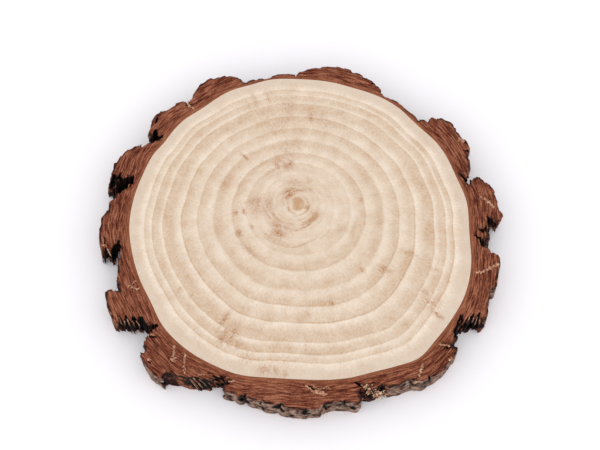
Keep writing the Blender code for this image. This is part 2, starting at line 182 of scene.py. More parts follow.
WOOD_SPOKES = 340
bearing = np.arange(WOOD_SPOKES) / WOOD_SPOKES * 360
wood_rim = through_knots(WOOD_EDGE, bearing)
rim_x = WOOD_MIDDLE[0] + wood_rim * np.cos(np.radians(bearing))
rim_y = WOOD_MIDDLE[1] + wood_rim * np.sin(np.radians(bearing))
reach = np.hypot(rim_x - PITH[0], rim_y - PITH[1])
spoke = np.degrees(np.arctan2(rim_y - PITH[1], rim_x - PITH[0])) % 360
wander = through_knots(RING_WANDER, spoke) + 0.005 * (drift(bearing / 360, 22, 0.0, 0.0, 3) - 0.5)

# Loops of corners follow the rings. They stand close together near the pith and across each outer ring's
# line, which is worn a little lower, and wider between.
LINE_STEP = 0.0042
loop_shares = {0.0, 0.985, 0.993, 1.0}
loop_shares |= {round(k * 0.0055, 5) for k in range(2, 60)} | {round(0.33 + k * 0.012, 5) for k in range(55)}
for ring in RINGS[10:-1]:
    loop_shares |= {round(ring[0] + k * LINE_STEP, 5) for k in (-2, -1, 0, 1, 2)}
loop_shares = np.array(sorted(loop_shares))
FAR_WAY = 95  # the pith's far side, as a bearing from the pith


def ring_tone(share):
    """How tan the wood is at each corner of a loop, along all bearings, at a share of the way out."""
    tone = np.zeros(WOOD_SPOKES)
    start = 0.0
    for number, (end, line, start_tone, end_tone) in enumerate(RINGS):
        uneven = 0.55 + 0.9 * drift(bearing / 360, 14, number * 1.7, 0.0, 8)
        if start <= share <= end:
            t = (share - start) / (end - start)
            late = ease(0.12, 0.64, t) if end > 0.7 else ease(0.28, 0.80, t)
            late_tone = start_tone + (end_tone - start_tone) * (0.6 + 0.4 * uneven)
            tone += start_tone * (1 - late) + late_tone * late
        tone += line * uneven * math.exp(-((share - end) / 0.0048) ** 2)
        if 0.3 < end < 1:  # the first wood of the next year is the palest
            tone -= 0.07 * uneven * math.exp(-((share - end - 0.013) / 0.0075) ** 2)
        start = end + 1e-6
    # the rings are fainter on the pith's far side, and the first ones are patchy
    faint = 0.35 * np.exp(-((spoke - FAR_WAY) / 45) ** 2) * ease(0.36, 0.55, share)
    tone += (0.22 - tone) * faint
    tone -= 0.45 * (drift(bearing / 360, 7, share * 60, 0.0, 9) - 0.25) * ease(0.10, 0.05, share)
    # the middle rings of the far side are a little more tan
    tone += 0.15 * np.exp(-((spoke - FAR_WAY) / 38) ** 2) * ease(0.50, 0.60, share) * ease(0.86, 0.76, share)
    for from_way, from_share, to_way, to_share, wide, strength in ARCS:
        along = (spoke - from_way) / (to_way - from_way)
        apart = (share - (from_share + (to_share - from_share) * along)) * reach
        tone += strength * ease(-0.04, 0.10, along) * ease(1.04, 0.90, along) * np.exp(-(apart / wide) ** 2)
    return tone


def wood_face(height, up, loops):
    """The corners of one sawn face from the pith outwards, each with its ring share, bearing and tone."""
    places, grown = [(PITH[0], PITH[1], height)], [(0.0, 0.0, RINGS[0][2])]
    turns = np.arange(WOOD_SPOKES // 2 + 1)
    for share in loops[1:]:
        # the rings have the outline's shape, and grow smoother and rounder towards the pith
        smoother = np.exp(-(turns * (1 - share) ** 1.2 * 0.35) ** 2)
        shape = np.fft.irfft(np.fft.rfft(reach) * smoother, WOOD_SPOKES)
        shape = reach.mean() + (shape - reach.mean()) * min(1.0, 0.45 + share / 0.45 * 0.55)
        hold = ease(0.25, 0.6, share) * (1 - ease(0.93, 1.0, share))
        far = (share + wander * hold) * shape
        uneven = 0.8 * (drift(bearing / 360, 34, share * 8, 0.0, 4) - 0.5)
        uneven += 0.4 * (drift(bearing / 360, 120, share * 20, 0.0, 7) - 0.5)
        far += uneven * ease(0.05, 0.3, share) * (1 - ease(0.93, 0.99, share))
        far *= 1 + 0.60 * (drift(bearing / 360, 6, share * 9, 0.0, 10) - 0.5) * ease(0.16, 0.04, share)
        tone = ring_tone(share)
        worn = 0.05 * (ring_tone(share - LINE_STEP) - 0.25)
        worn = worn - 0.05 * (drift(bearing / 360, 60, share * 90, 0.0, 5) - 0.5)
        z = height - up * (worn if share < 0.98 else 0.0) * np.ones(WOOD_SPOKES)
        x = PITH[0] + (rim_x - PITH[0]) / reach * far
        y = PITH[1] + (rim_y - PITH[1]) / reach * far
        places += list(zip(x, y, z))
        grown += list(zip(np.full(WOOD_SPOKES, share), bearing, tone))
    return places, grown


top_places, top_grown = wood_face(THICKNESS, 1.0, loop_shares)
low_loops = np.array([0.0] + [k / 60 for k in range(1, 61)])
low_places, low_grown = wood_face(0.0, -1.0, low_loops)
places = top_places + low_places
faces = []
for first, loops, turn in ((0, len(loop_shares), 1), (len(top_places), len(low_loops), -1)):
    for k in range(WOOD_SPOKES):
        j = (k + 1) % WOOD_SPOKES
        faces.append([first, first + 1 + k, first + 1 + j][::turn])
        for loop in range(loops - 2):
            a = first + 1 + loop * WOOD_SPOKES
            b = a + WOOD_SPOKES
            faces.append([a + k, b + k, b + j, a + j][::turn])
top_rim = len(top_places) - WOOD_SPOKES
low_rim = len(places) - WOOD_SPOKES
for k in range(WOOD_SPOKES):
    j = (k + 1) % WOOD_SPOKES
    faces.append([top_rim + k, low_rim + k, low_rim + j, top_rim + j])
wood = piece_from("sawn_pine_round", places, faces)
wood_share, wood_way, wood_tone = np.array(top_grown + low_grown).T
wood_way = np.radians(wood_way)
mark(wood, "ring_share", wood_share)
mark(wood, "ring_tone", wood_tone)
round_wood = [WOOD_RADIUS * np.cos(wood_way), WOOD_RADIUS * np.sin(wood_way), wood_share * WOOD_RADIUS]
mark(wood, "round_trunk", np.stack(round_wood, axis=1))
wood.data.shade_smooth()
wood.data.set_sharp_from_angle(angle=math.radians(35))

# Marks that the saw and the weather left on the face: bearing from the pith, share of the way out, length
# along the spoke and width across it in mm, and strength
STAINS = [
    (99, 0.31, 5, 3.2, 1.2), (105, 0.30, 5, 3.6, 1.2), (115, 0.325, 5, 2.6, 1.1), (110, 0.36, 6, 2.5, 0.7),
    (100, 0.42, 8, 9, 0.5), (92, 0.46, 6, 7, 0.45), (108, 0.34, 9, 12, 0.4), (128, 0.30, 8, 9, 0.35),
    (98, 0.16, 5, 7, 0.5), (131, 0.085, 2.6, 7, 1.5), (122, 0.115, 2.8, 7, 1.2), (92, 0.10, 2.0, 8, 1.1),
    (134, 0.505, 6, 1.3, 1.2), (104, 0.86, 7, 2.0, 0.7), (110, 0.88, 6, 1.6, 0.8), (114, 0.85, 5, 1.5, 0.6),
    (107, 0.68, 12, 6, 0.35), (83, 0.69, 5, 2.5, 0.9), (76, 0.72, 6, 2.2, 0.5), (72, 0.66, 5, 2.0, 0.4),
    (95, 0.78, 10, 5, 0.4), (90, 0.435, 3, 4, 0.6), (244, 0.84, 8, 2.6, 1.4), (246.5, 0.81, 9, 2.4, 1.2),
    (241, 0.76, 9, 2.2, 1.1), (250, 0.85, 6, 3.4, 0.8), (260, 0.955, 5, 3.6, 1.1), (262, 0.94, 9, 8, 0.5),
    (263.5, 0.965, 4, 2.2, 1.0), (247, 0.84, 11, 8, 0.5), (266, 0.975, 3, 2, 1.0), (254, 0.90, 8, 5, 0.5),
    (220, 0.825, 2.5, 2, 0.8), (225, 0.78, 3, 2, 0.6), (317.5, 0.93, 7, 2.2, 1.3), (321, 0.81, 5, 2.2, 1.0),
    (319.5, 0.86, 7, 2.4, 1.2), (318, 0.565, 4, 4, 1.2), (319, 0.60, 3, 2.6, 0.9), (333, 0.66, 7, 2.2, 0.9),
    (331, 0.80, 6, 2, 0.6), (287, 0.59, 3, 2, 1.1), (319, 0.87, 10, 8, 0.45), (318, 0.57, 7, 8, 0.4),
    (275, 0.64, 3, 2.2, 0.7), (310, 0.48, 4, 2, 0.8), (190, 0.37, 1.8, 2.6, 1.3), (190, 0.32, 1.8, 3.5, 1.2),
    (211, 0.382, 2.6, 3.4, 1.4), (211, 0.30, 2, 2.8, 0.8), (240, 0.20, 5, 7, 1.3), (230, 0.17, 4, 6, 1.1),
    (246, 0.155, 2.4, 5, 0.8), (227, 0.38, 3, 12, 0.7), (176, 0.26, 9, 8, 0.8), (184, 0.24, 5, 9, 0.8),
    (183, 0.17, 3, 9, 0.9), (160, 0.48, 4, 9, 0.5), (325, 0.27, 4, 6, 0.6), (306, 0.115, 2.4, 9, 1.0),
    (336, 0.062, 1.4, 4, 1.2), (207, 0.155, 1.6, 4, 0.8), (66, 0.19, 3, 3, 0.5), (50, 0.13, 1.8, 4, 0.7),
    (4, 0.38, 2, 2.2, 0.9), (187, 0.76, 4, 1.4, 0.5), (273, 0.82, 6, 1.6, 0.5), (92, 0.79, 2.5, 1.8, 0.7),
]
stain = np.zeros(len(places))
spot_x, spot_y = np.array(places)[:, 0], np.array(places)[:, 1]
for way, share, length, width, strength in STAINS:
    k = int(np.argmin(np.abs((spoke - way + 180) % 360 - 180)))
    centre = (PITH[0] + (rim_x[k] - PITH[0]) * share, PITH[1] + (rim_y[k] - PITH[1]) * share)
    a = math.radians(way)
    along = (spot_x - centre[0]) * math.cos(a) + (spot_y - centre[1]) * math.sin(a)
    across = -(spot_x - centre[0]) * math.sin(a) + (spot_y - centre[1]) * math.cos(a)
    stain = np.maximum(stain, strength * np.exp(-(along / length) ** 2 * 2.2 - (across / width) ** 2 * 2.2))
stain[len(top_places):] *= 0.3  # they are faint on the underside
mark(wood, "stain", stain)

# Dry pine, cross-cut and sanded: end grain drinks the light, so it is matt, pale cream in the early wood and
# tan towards each dark line, fuzzy from the saw, with short flecks of fibre running out from the pith.
PINE_FIRST, PINE_PALE, PINE_CREAM = "#E9D9C8", "#E0CFBD", "#D7C2AD"
PINE_TAN, PINE_PITH, PINE_STAIN = "#C8AC92", "#BD9570", "#A56E40"
PINE_OUTER = "#D0C0B0"  # the youngest wood, by the bark, is greyer
FLECKS_PER_MM = (1.05, 1.05, 0.56)  # a fleck is about 0.95 mm wide and 1.8 mm long
FUZZ_PER_METRE = 960.0  # the fuzz of a fine saw, drawn 1.04 mm wide, since finer would not show
CLOUDS_PER_METRE = 110.0  # patches of paler and darker wood, about 9 mm wide
pine, tree = empty_finish("sanded_pine_end_grain")
share = add(tree, "Attribute", attribute_name="ring_share").outputs["Fac"]
ring = add(tree, "Attribute", attribute_name="ring_tone").outputs["Fac"]
round_trunk = add(tree, "Attribute", attribute_name="round_trunk").outputs["Vector"]
here = add(tree, "TexCoord").outputs["Object"]
fleck_way = add(tree, "VectorMath", {0: round_trunk, 1: FLECKS_PER_MM}, operation="MULTIPLY").outputs[0]
fleck = add(tree, "TexNoise", {"Vector": fleck_way, "Scale": 1.0, "Detail": 2.0,
                               "Roughness": 0.6}).outputs["Fac"]
fuzz = add(tree, "TexNoise", {"Vector": here, "Scale": FUZZ_PER_METRE, "Detail": 2.0,
                              "Roughness": 0.75}).outputs["Fac"]
cloud = add(tree, "TexNoise", {"Vector": here, "Scale": CLOUDS_PER_METRE, "Detail": 3.0,
                               "Roughness": 0.6}).outputs["Fac"]
tone = ring
for pattern, depth in ((fleck, 0.38), (fuzz, 0.72), (cloud, 0.46)):
    around_zero = add(tree, "MapRange", {"Value": pattern, "From Min": 0.25, "From Max": 0.75,
                                         "To Min": -depth / 2, "To Max": depth / 2}).outputs[0]
    tone = add(tree, "Math", {0: tone, 1: around_zero}, operation="ADD").outputs[0]
tone = add(tree, "MapRange", {"Value": tone, "From Min": -0.15, "From Max": 1.0,
                              "To Min": 0.0, "To Max": 1.0}).outputs[0]
colours = add(tree, "ValToRGB", {"Fac": tone})
ramp = colours.color_ramp
ramp.elements[0].position, ramp.elements[0].color = 0.0, linear(PINE_FIRST)
ramp.elements[1].position, ramp.elements[1].color = 1.0, linear(PINE_PITH)
for at, colour in ((0.13, PINE_PALE), (0.39, PINE_CREAM), (0.72, PINE_TAN)):
    ramp.elements.new(at).color = linear(colour)
youngest = add(tree, "MapRange", {"Value": share, "From Min": 0.93, "From Max": 0.97,
                                  "To Min": 0.0, "To Max": 0.45}).outputs[0]
aged = add(tree, "Mix", {0: youngest, 6: colours.outputs["Color"], 7: linear(PINE_OUTER)},
           data_type="RGBA").outputs[2]
stained = add(tree, "Attribute", attribute_name="stain").outputs["Fac"]
rough = add(tree, "Math", {0: fleck, 1: fuzz}, operation="ADD").outputs[0]
ragged = add(tree, "MapRange", {"Value": rough, "From Min": 0.82, "From Max": 1.16,
                                "To Min": 0.3, "To Max": 1.2}).outputs[0]
stain_here = add(tree, "Math", {0: stained, 1: ragged}, operation="MULTIPLY").outputs[0]
stain_soft = add(tree, "Math", {0: stain_here, 1: 0.70}, operation="MULTIPLY", use_clamp=True).outputs[0]
with_stain = add(tree, "Mix", {0: stain_soft, 6: aged, 7: linear(PINE_STAIN)}, data_type="RGBA").outputs[2]
dust = add(tree, "MapRange", {"Value": fuzz, "From Min": 0.30, "From Max": 0.70,
                              "To Min": 0.905, "To Max": 1.095}).outputs[0]
face = add(tree, "VectorMath", {0: with_stain, 1: dust}, operation="MULTIPLY").outputs[0]
bump = add(tree, "Bump", {"Height": rough, "Strength": 0.25, "Distance": 0.0003}).outputs[0]
shader = add(tree, "BsdfPrincipled", {"Base Color": face, "Roughness": 0.85, "IOR": 1.45,
                                      "Specular IOR Level": 0.15, "Normal": bump})
add(tree, "OutputMaterial", {"Surface": shader.outputs[0]})
wood.data.materials.append(pine)
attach(wood, "root")
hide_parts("wood")

# The bark: thick, flaky pine bark that grew on the wood in thin layers, split by furrows into plates and cut
# flat by the same two saw cuts. It is one ring, held to the wood by its own growth.

# The outline at the upper cut, plate by plate: bearing and distance from the middle of the wood. The pair
# before each list says how far the underside of that stretch is turned (degrees) and pushed out (mm) from the
# top.
BARK = [
    ((2.0, 0.0), [
        (359.7, 106.8), (359.8, 110.0), (0.1, 112.4), (1.6, 112.2), (3.0, 113.3), (2.8, 115.2)]),
    ((6.0, -1.0), [
        (1.8, 117.2), (1.2, 118.1), (1.6, 119.2), (2.2, 120.9)]),
    ((4.0, -1.5), [
        (3.0, 122.0)]),
    ((0.0, -2.5), [
        (4.5, 121.6), (6.0, 120.5), (10.0, 120.2), (12.5, 119.5), (14.6, 118.2), (15.0, 116.0),
        (16.5, 115.2), (18.0, 112.4)]),
    ((0.0, 0.0), [
        (17.4, 110.6), (18.0, 109.0), (17.0, 107.7), (16.1, 106.2), (17.2, 105.0), (18.4, 105.2),
        (20.9, 103.6), (19.6, 105.9), (18.9, 107.0), (19.4, 108.3), (20.9, 108.0)]),
    ((0.0, -2.0), [
        (21.0, 109.8), (21.8, 110.9), (23.1, 112.3), (24.0, 112.9), (25.4, 113.0), (26.4, 114.2),
        (27.2, 116.0), (28.2, 117.5), (29.3, 118.2), (30.5, 118.3), (31.6, 117.5), (35.0, 117.5),
        (35.9, 118.5), (38.6, 118.7), (39.8, 117.1), (41.9, 116.0), (42.1, 113.1), (43.4, 112.8)]),
    ((0.0, -0.5), [
        (43.9, 110.2), (43.1, 108.1), (44.6, 108.1), (45.4, 106.6), (45.6, 105.2), (46.0, 104.0),
        (47.0, 105.3), (48.5, 106.1), (50.0, 105.7), (51.5, 106.2), (53.0, 107.0), (54.5, 107.8),
        (57.0, 107.7), (58.0, 107.0), (60.0, 107.3), (62.0, 107.9), (63.0, 108.7)]),
    ((0.0, -2.5), [
        (63.2, 110.3), (65.0, 111.7), (66.5, 114.2), (69.0, 114.5), (70.0, 113.7), (71.0, 115.7),
        (73.6, 116.4), (74.5, 117.9), (76.5, 118.2), (77.5, 117.1), (78.4, 117.7), (80.5, 117.2),
        (81.5, 116.5), (83.0, 116.8), (84.4, 115.3), (85.2, 115.6), (86.5, 114.1), (88.5, 113.1),
        (90.0, 111.8), (91.0, 110.9)]),
    ((0.0, -0.5), [
        (91.6, 109.5), (92.2, 110.1), (93.0, 109.9), (94.0, 110.9), (96.0, 111.5), (98.0, 111.0),
        (99.5, 109.8), (101.0, 109.3), (103.0, 109.5), (105.5, 110.2), (107.5, 110.1), (108.3, 108.8)]),
    ((0.0, -2.5), [
        (108.9, 109.8), (109.5, 112.0), (110.8, 115.0), (112.0, 116.8), (113.3, 117.8), (115.0, 118.6),
        (117.0, 120.0), (118.7, 121.0), (120.0, 120.4), (122.0, 120.1), (123.5, 118.3), (125.0, 116.5),
        (125.8, 114.8), (127.4, 114.1), (128.4, 112.2)]),
    ((0.0, 0.0), [
        (128.8, 110.6), (129.3, 112.8)]),
    ((0.0, -2.5), [
        (129.1, 115.0), (130.0, 116.4), (132.0, 117.9), (135.0, 118.1), (136.0, 119.0), (136.7, 120.3),
        (139.0, 120.3), (141.0, 119.5), (142.0, 118.4), (143.2, 116.6), (145.1, 115.2), (145.6, 113.4)]),
    ((0.5, 0.0), [
        (144.2, 113.3), (142.8, 112.3), (143.2, 110.2), (144.0, 108.2), (143.1, 106.8)]),
    ((0.0, 0.0), [
        (143.8, 105.9), (144.8, 107.0), (146.3, 108.3), (147.0, 109.6), (147.6, 110.6), (148.3, 111.9),
        (149.3, 112.2)]),
    ((0.0, -2.0), [
        (149.6, 113.9), (150.4, 116.0), (151.5, 117.3), (153.0, 118.3), (153.4, 120.3), (156.0, 121.1),
        (158.0, 121.6), (158.7, 122.4), (160.0, 121.5), (161.8, 121.2)]),
    ((1.0, 0.0), [
        (164.0, 121.8), (165.4, 120.9), (164.2, 119.4), (165.2, 118.4), (166.6, 117.2), (166.2, 115.8),
        (164.4, 115.5), (162.6, 115.7), (161.2, 116.5), (162.3, 114.8), (163.3, 113.4), (161.4, 111.6)]),
    ((0.0, 0.0), [
        (162.4, 110.3), (161.1, 108.6), (162.3, 108.3), (163.4, 105.9), (163.5, 108.5), (164.5, 109.6),
        (165.7, 108.5), (165.8, 110.4), (167.4, 112.4), (168.6, 114.1), (170.4, 114.7), (170.8, 116.5)]),
    ((0.0, -2.0), [
        (172.0, 116.9), (174.5, 116.6), (175.0, 117.6), (176.0, 118.2), (176.3, 119.6), (177.5, 120.3),
        (179.0, 119.8), (179.6, 120.5), (181.0, 121.0), (183.0, 120.9), (185.0, 120.7)]),
    ((0.0, 0.0), [
        (186.6, 120.5), (188.0, 120.4), (189.2, 119.9), (188.5, 118.6), (187.0, 118.2), (187.6, 117.2),
        (188.7, 116.2), (188.9, 114.8), (188.2, 113.4), (187.2, 112.5), (186.4, 111.0), (185.2, 109.7)]),
    ((0.0, 0.0), [
        (187.2, 108.5), (188.3, 109.4), (190.0, 110.2), (191.6, 111.2), (193.2, 112.0), (194.5, 112.1),
        (196.0, 112.5), (197.0, 113.5), (198.3, 114.6), (199.5, 114.4), (201.0, 115.1)]),
    ((0.0, 0.0), [
        (202.3, 114.9), (202.0, 116.4), (201.0, 118.3), (200.7, 120.0)]),
    ((0.0, -2.5), [
        (200.5, 121.5), (201.2, 123.3), (203.0, 124.7), (205.0, 125.7), (207.0, 125.5), (208.2, 126.1)]),
    ((0.8, 0.0), [
        (209.4, 126.3), (210.0, 125.4), (209.8, 123.9), (211.3, 122.6), (211.0, 119.3), (213.5, 118.2),
        (212.3, 115.6), (214.4, 113.8), (213.9, 112.2)]),
    ((0.0, 0.0), [
        (216.2, 111.0), (217.1, 108.6), (217.8, 106.6), (218.4, 108.6), (218.3, 112.4), (218.7, 115.0),
        (219.4, 117.0)]),
    ((0.0, -1.0), [
        (220.0, 118.4), (220.3, 120.0), (222.0, 121.2), (222.5, 122.5), (222.3, 124.0), (221.9, 125.2),
        (222.7, 126.3)]),
    ((0.0, -3.5), [
        (224.0, 127.2), (226.0, 128.3), (227.2, 129.0), (229.0, 129.0), (230.8, 128.8)]),
    ((0.0, 2.0), [
        (231.3, 127.0), (231.0, 124.6), (231.5, 122.3), (233.0, 121.4), (234.5, 119.8), (236.5, 119.0),
        (238.5, 117.0), (241.0, 116.0), (242.3, 114.4), (242.9, 112.4)]),
    ((0.0, 0.0), [
        (243.8, 110.9), (245.0, 110.6), (245.7, 108.2), (246.5, 110.6), (247.3, 111.0), (248.0, 108.0),
        (248.6, 110.6), (247.5, 112.6), (247.0, 114.4)]),
    ((0.0, -2.5), [
        (247.3, 116.2), (249.0, 115.9), (250.5, 115.9), (252.5, 116.8), (253.6, 116.0), (254.0, 114.2),
        (254.5, 115.7), (256.0, 116.6), (258.5, 116.2), (260.0, 117.0), (262.6, 117.1), (264.2, 115.9),
        (264.7, 117.7), (266.0, 118.5), (268.0, 119.3), (271.0, 119.9), (271.6, 119.2), (275.0, 119.5),
        (275.8, 117.6), (277.5, 116.6), (279.0, 116.1), (281.5, 117.2), (283.5, 118.2), (285.3, 120.2),
        (286.4, 119.9)]),
    ((0.0, -0.9), [
        (286.8, 117.0), (286.6, 115.0), (287.1, 113.4), (287.9, 113.6), (288.8, 114.4), (290.0, 115.6),
        (291.4, 116.2), (292.8, 115.2), (293.8, 113.8), (294.6, 114.9)]),
    ((0.0, -3.0), [
        (295.2, 116.8), (297.0, 117.2), (298.6, 118.6), (301.0, 118.5), (302.3, 119.5), (303.6, 121.5),
        (304.4, 123.4), (306.0, 124.2), (308.5, 124.7), (311.0, 125.0), (313.0, 124.3), (315.0, 123.5),
        (317.0, 122.6), (318.0, 121.5)]),
    ((0.0, 0.0), [
        (318.2, 119.5), (316.9, 118.0), (315.8, 116.0), (316.3, 113.4), (317.4, 116.8), (319.0, 118.2),
        (320.0, 117.2), (320.6, 115.9), (322.0, 115.3), (324.0, 113.9), (326.4, 112.4), (327.5, 110.4),
        (327.5, 113.0), (325.8, 114.9)]),
    ((-1.5, 0.0), [
        (327.3, 115.9), (329.3, 117.2), (328.5, 118.9), (329.9, 120.4), (329.4, 122.6)]),
    ((0.0, -2.0), [
        (330.0, 124.6), (331.5, 123.9), (333.0, 123.0), (334.5, 121.9), (336.0, 121.5), (338.0, 120.6),
        (339.7, 120.0), (339.9, 121.4), (340.8, 122.1), (343.0, 121.5), (345.0, 121.0), (348.0, 121.2),
        (349.7, 120.4), (350.8, 118.5), (351.5, 116.4)]),
    ((0.0, 0.0), [
        (351.7, 114.6), (352.7, 113.2), (353.3, 111.5), (353.0, 109.4), (354.0, 108.0), (355.1, 108.8),
        (355.5, 110.6), (356.7, 111.2), (357.4, 112.4), (358.0, 111.2), (358.1, 108.6), (358.8, 106.6)]),
]

# The bark is worked out on a grid that is bent round the wood: along the rim, outwards and up. Its skin is
# drawn where the grid passes out of the bark.
COLUMNS = 880  # round the rim, about 0.8 mm apart
OUTWARD = np.arange(-0.42, 27.4, 0.42)  # from the wood's edge
UPWARD = np.arange(-0.5, THICKNESS + 1.1, 0.5)
BARK_RADIUS = 112.0  # on average
LAYER = 1.55  # one layer of the bark
turn = np.arange(COLUMNS) / COLUMNS
rim_at = through_knots(WOOD_EDGE, turn * 360)


def layer_wave(turn, outward, up):
    """How far the bark's layers wave from a true line round the wood, in mm."""
    slow = drift(turn, 24, up / 14, outward / 15, 11) - 0.5
    quick = drift(turn, 74, up / 9, outward / 9, 12) - 0.5
    return 2.6 * slow * ease(0.5, 6, outward) + 0.9 * quick * ease(0.3, 3, outward)


def outline(low):
    """The bark's outline, moved from the upper cut's towards the underside's by the share low."""
    corners = []
    for (turned, pushed), knots in BARK:
        for way, distance in knots:
            a, r = math.radians(way + turned * low), distance + pushed * low
            corners.append((WOOD_MIDDLE[0] + r * math.cos(a), WOOD_MIDDLE[1] + r * math.sin(a)))
    return np.array(corners)


def depth_inside(x, y, corners):
    """Each place's distance to the outline, negative inside it, and whether the nearest side is weathered."""
    a, b = corners, np.roll(corners, -1, axis=0)
    middle = np.array(WOOD_MIDDLE)
    side_way = np.degrees(np.arctan2(*((a + b) / 2 - middle).T[::-1])) % 360
    weathered = np.array([float(pushed < -1) for (turned, pushed), knots in BARK for knot in knots])
    result, skin = np.empty(x.shape), np.empty(x.shape)
    for start in range(0, len(x), 40):
        rows = slice(start, start + 40)
        px, py = x[rows], y[rows]
        way = (start + 20) / len(x) * 360
        near = np.abs((side_way - way + 180) % 360 - 180) < 22
        p, q = a[near], b[near]
        d = q - p
        long2 = np.maximum((d ** 2).sum(1), 1e-9)
        vx, vy = px[..., None] - p[:, 0], py[..., None] - p[:, 1]
        t = np.clip((vx * d[:, 0] + vy * d[:, 1]) / long2, 0, 1)
        far2 = (vx - t * d[:, 0]) ** 2 + (vy - t * d[:, 1]) ** 2
        least = np.sqrt(far2.min(-1))
        skin[rows] = weathered[near][far2.argmin(-1)]
        # a place is inside when the way straight out from it crosses the outline an odd number of times
        ux, uy = px - middle[0], py - middle[1]
        side_p = ux[..., None] * (p[:, 1] - middle[1]) - uy[..., None] * (p[:, 0] - middle[0])
        side_q = ux[..., None] * (q[:, 1] - middle[1]) - uy[..., None] * (q[:, 0] - middle[0])
        cross = (side_p > 0) != (side_q > 0)
        beyond = (vx * d[:, 1] - vy * d[:, 0]) * np.where(side_q > side_p, 1, -1) < 0
        odd = (cross & beyond).sum(-1) % 2 == 1
        result[rows] = np.where(odd, -least, least)
    return result, skin


def spot(way, distance):
    """The place at this bearing and distance from the middle of the wood."""
    a = math.radians(way)
    return WOOD_MIDDLE[0] + distance * math.cos(a), WOOD_MIDDLE[1] + distance * math.sin(a)


grid_way = np.radians(turn * 360)[:, None]
grid_r = rim_at[:, None] + OUTWARD[None, :]
grid_x = WOOD_MIDDLE[0] + grid_r * np.cos(grid_way)
grid_y = WOOD_MIDDLE[1] + grid_r * np.sin(grid_way)
LEAN = 0.35  # the scales and hollows on the side make up for the rest of the lean
edge_top, skin_top = depth_inside(grid_x, grid_y, outline(0.0))
edge_low, skin_low = depth_inside(grid_x, grid_y, outline(LEAN))

# at each place of the grid: how far round (a share of the turn), how far out and how far up (mm)
T, D, U = np.meshgrid(turn, OUTWARD, UPWARD, indexing="ij")
layer_at = (D + layer_wave(T, D, U)) / LAYER
layer_no = np.floor(layer_at)
below = np.clip((THICKNESS - U) / THICKNESS, 0, 1)
low = np.interp(below, [0, 0.26, 0.34, 0.68, 1], [0, 0.1, 0.45, 0.6, 1])

# Where a plate is broken across, its layers end one by one, like the teeth of a comb: bearing, reach in mm
COMBED = [(2, 1.4), (18, 1.2), (128, 1.4), (144, 1.6), (165, 1.4), (188, 1.6),
          (212, 2.8), (219, 1.6), (242, 2.4), (287, 1.2), (325, 2.6), (354, 1.6)]
LEAST_REACH = 0.7
COLUMN_WIDTH = 2 * math.pi * 113 / COLUMNS  # on the outside of the bark
reach_at = np.full(COLUMNS, LEAST_REACH)
for way, reach_mm in COMBED:
    off = (turn * 360 - way + 180) % 360 - 180
    reach_at = np.maximum(reach_at, reach_mm * np.exp(-(off / 5.0) ** 2))
comb = (drift(T, 70, layer_no, U / 6, 21) - 0.5) * 2 * reach_at[:, None, None]
fray = (drift(T, 420, D / 0.8, U / 1.6, 22) - 0.5) * 0.7
column = np.arange(COLUMNS)[:, None, None] + (comb + fray) / COLUMN_WIDTH
first = np.floor(column).astype(int)
part = column - first
row = np.arange(len(OUTWARD))[None, :, None]


def along_rim(flat):
    """A flat map of the bark read at each place of the grid, moved along the rim by how its layers end."""
    return flat[first % COLUMNS, row] * (1 - part) + flat[(first + 1) % COLUMNS, row] * part


edge = along_rim(edge_top) * (1 - low) + along_rim(edge_low) * low
skin = along_rim(skin_top) * (1 - low) + along_rim(skin_low) * low
still = edge_top[:, :, None] * (1 - low) + edge_low[:, :, None] * low

# Where a plate spreads towards its foot: bearings from and to, and how far in mm
SPREADS = [(258, 268, 0.6), (294, 304, 1.0), (350, 358, 1.6), (196, 202, 0.6)]
for from_way, to_way, spread in SPREADS:
    here = ease(from_way - 2, from_way + 2, T * 360) * ease(to_way + 2, to_way - 2, T * 360)
    edge = edge - spread * here * low

# The weathered outer side peels in scales, each a step lower than the next, with a crack along the step
scale = drift(T, 70, U / 11, D / 30, 31) * 2.4 + drift(T, 170, U / 5, D / 30, 32) * 0.9
scale += 0.2 * drift(T, 420, U / 1.8, D / 30, 39)
step_no = np.floor(scale)
crack = np.exp(-(np.minimum(scale - step_no, step_no + 1 - scale) / 0.08) ** 2)
grain = drift(T, 600, U / 1.3, D / 1.2, 33) - 0.5
lump = drift(T, 210, U / 3.2, D / 3.2, 34) - 0.5

# A broken side is hollowed out below the cut face and between its layers' ends
sunk = THICKNESS - U
layer_part = layer_at - layer_no
between = ease(0.10, 0.32, layer_part) * ease(0.98, 0.74, layer_part)
toothed = np.clip((reach_at - LEAST_REACH) / 1.2, 0.15, 1)[:, None, None]
hollow = 2.4 * (drift(T, 88, U / 4.2, D / 5, 35) - 0.36) + 1.0 * (drift(T, 230, U / 2.0, D / 2, 36) - 0.5)
hollow = np.clip(hollow, -0.8, 1.8) * ease(0, 2.0, sunk)
hollow += between * toothed * (0.3 + 1.7 * drift(T, 60, layer_no, 0 * U, 38)) * ease(0, 0.9, sunk)
recess = edge - still + hollow
outside = edge - 0.35 + skin * ((step_no - 1.5) * 0.42 + 0.65 * crack) + 0.30 * grain + 0.38 * lump
outside += (1 - skin) * hollow

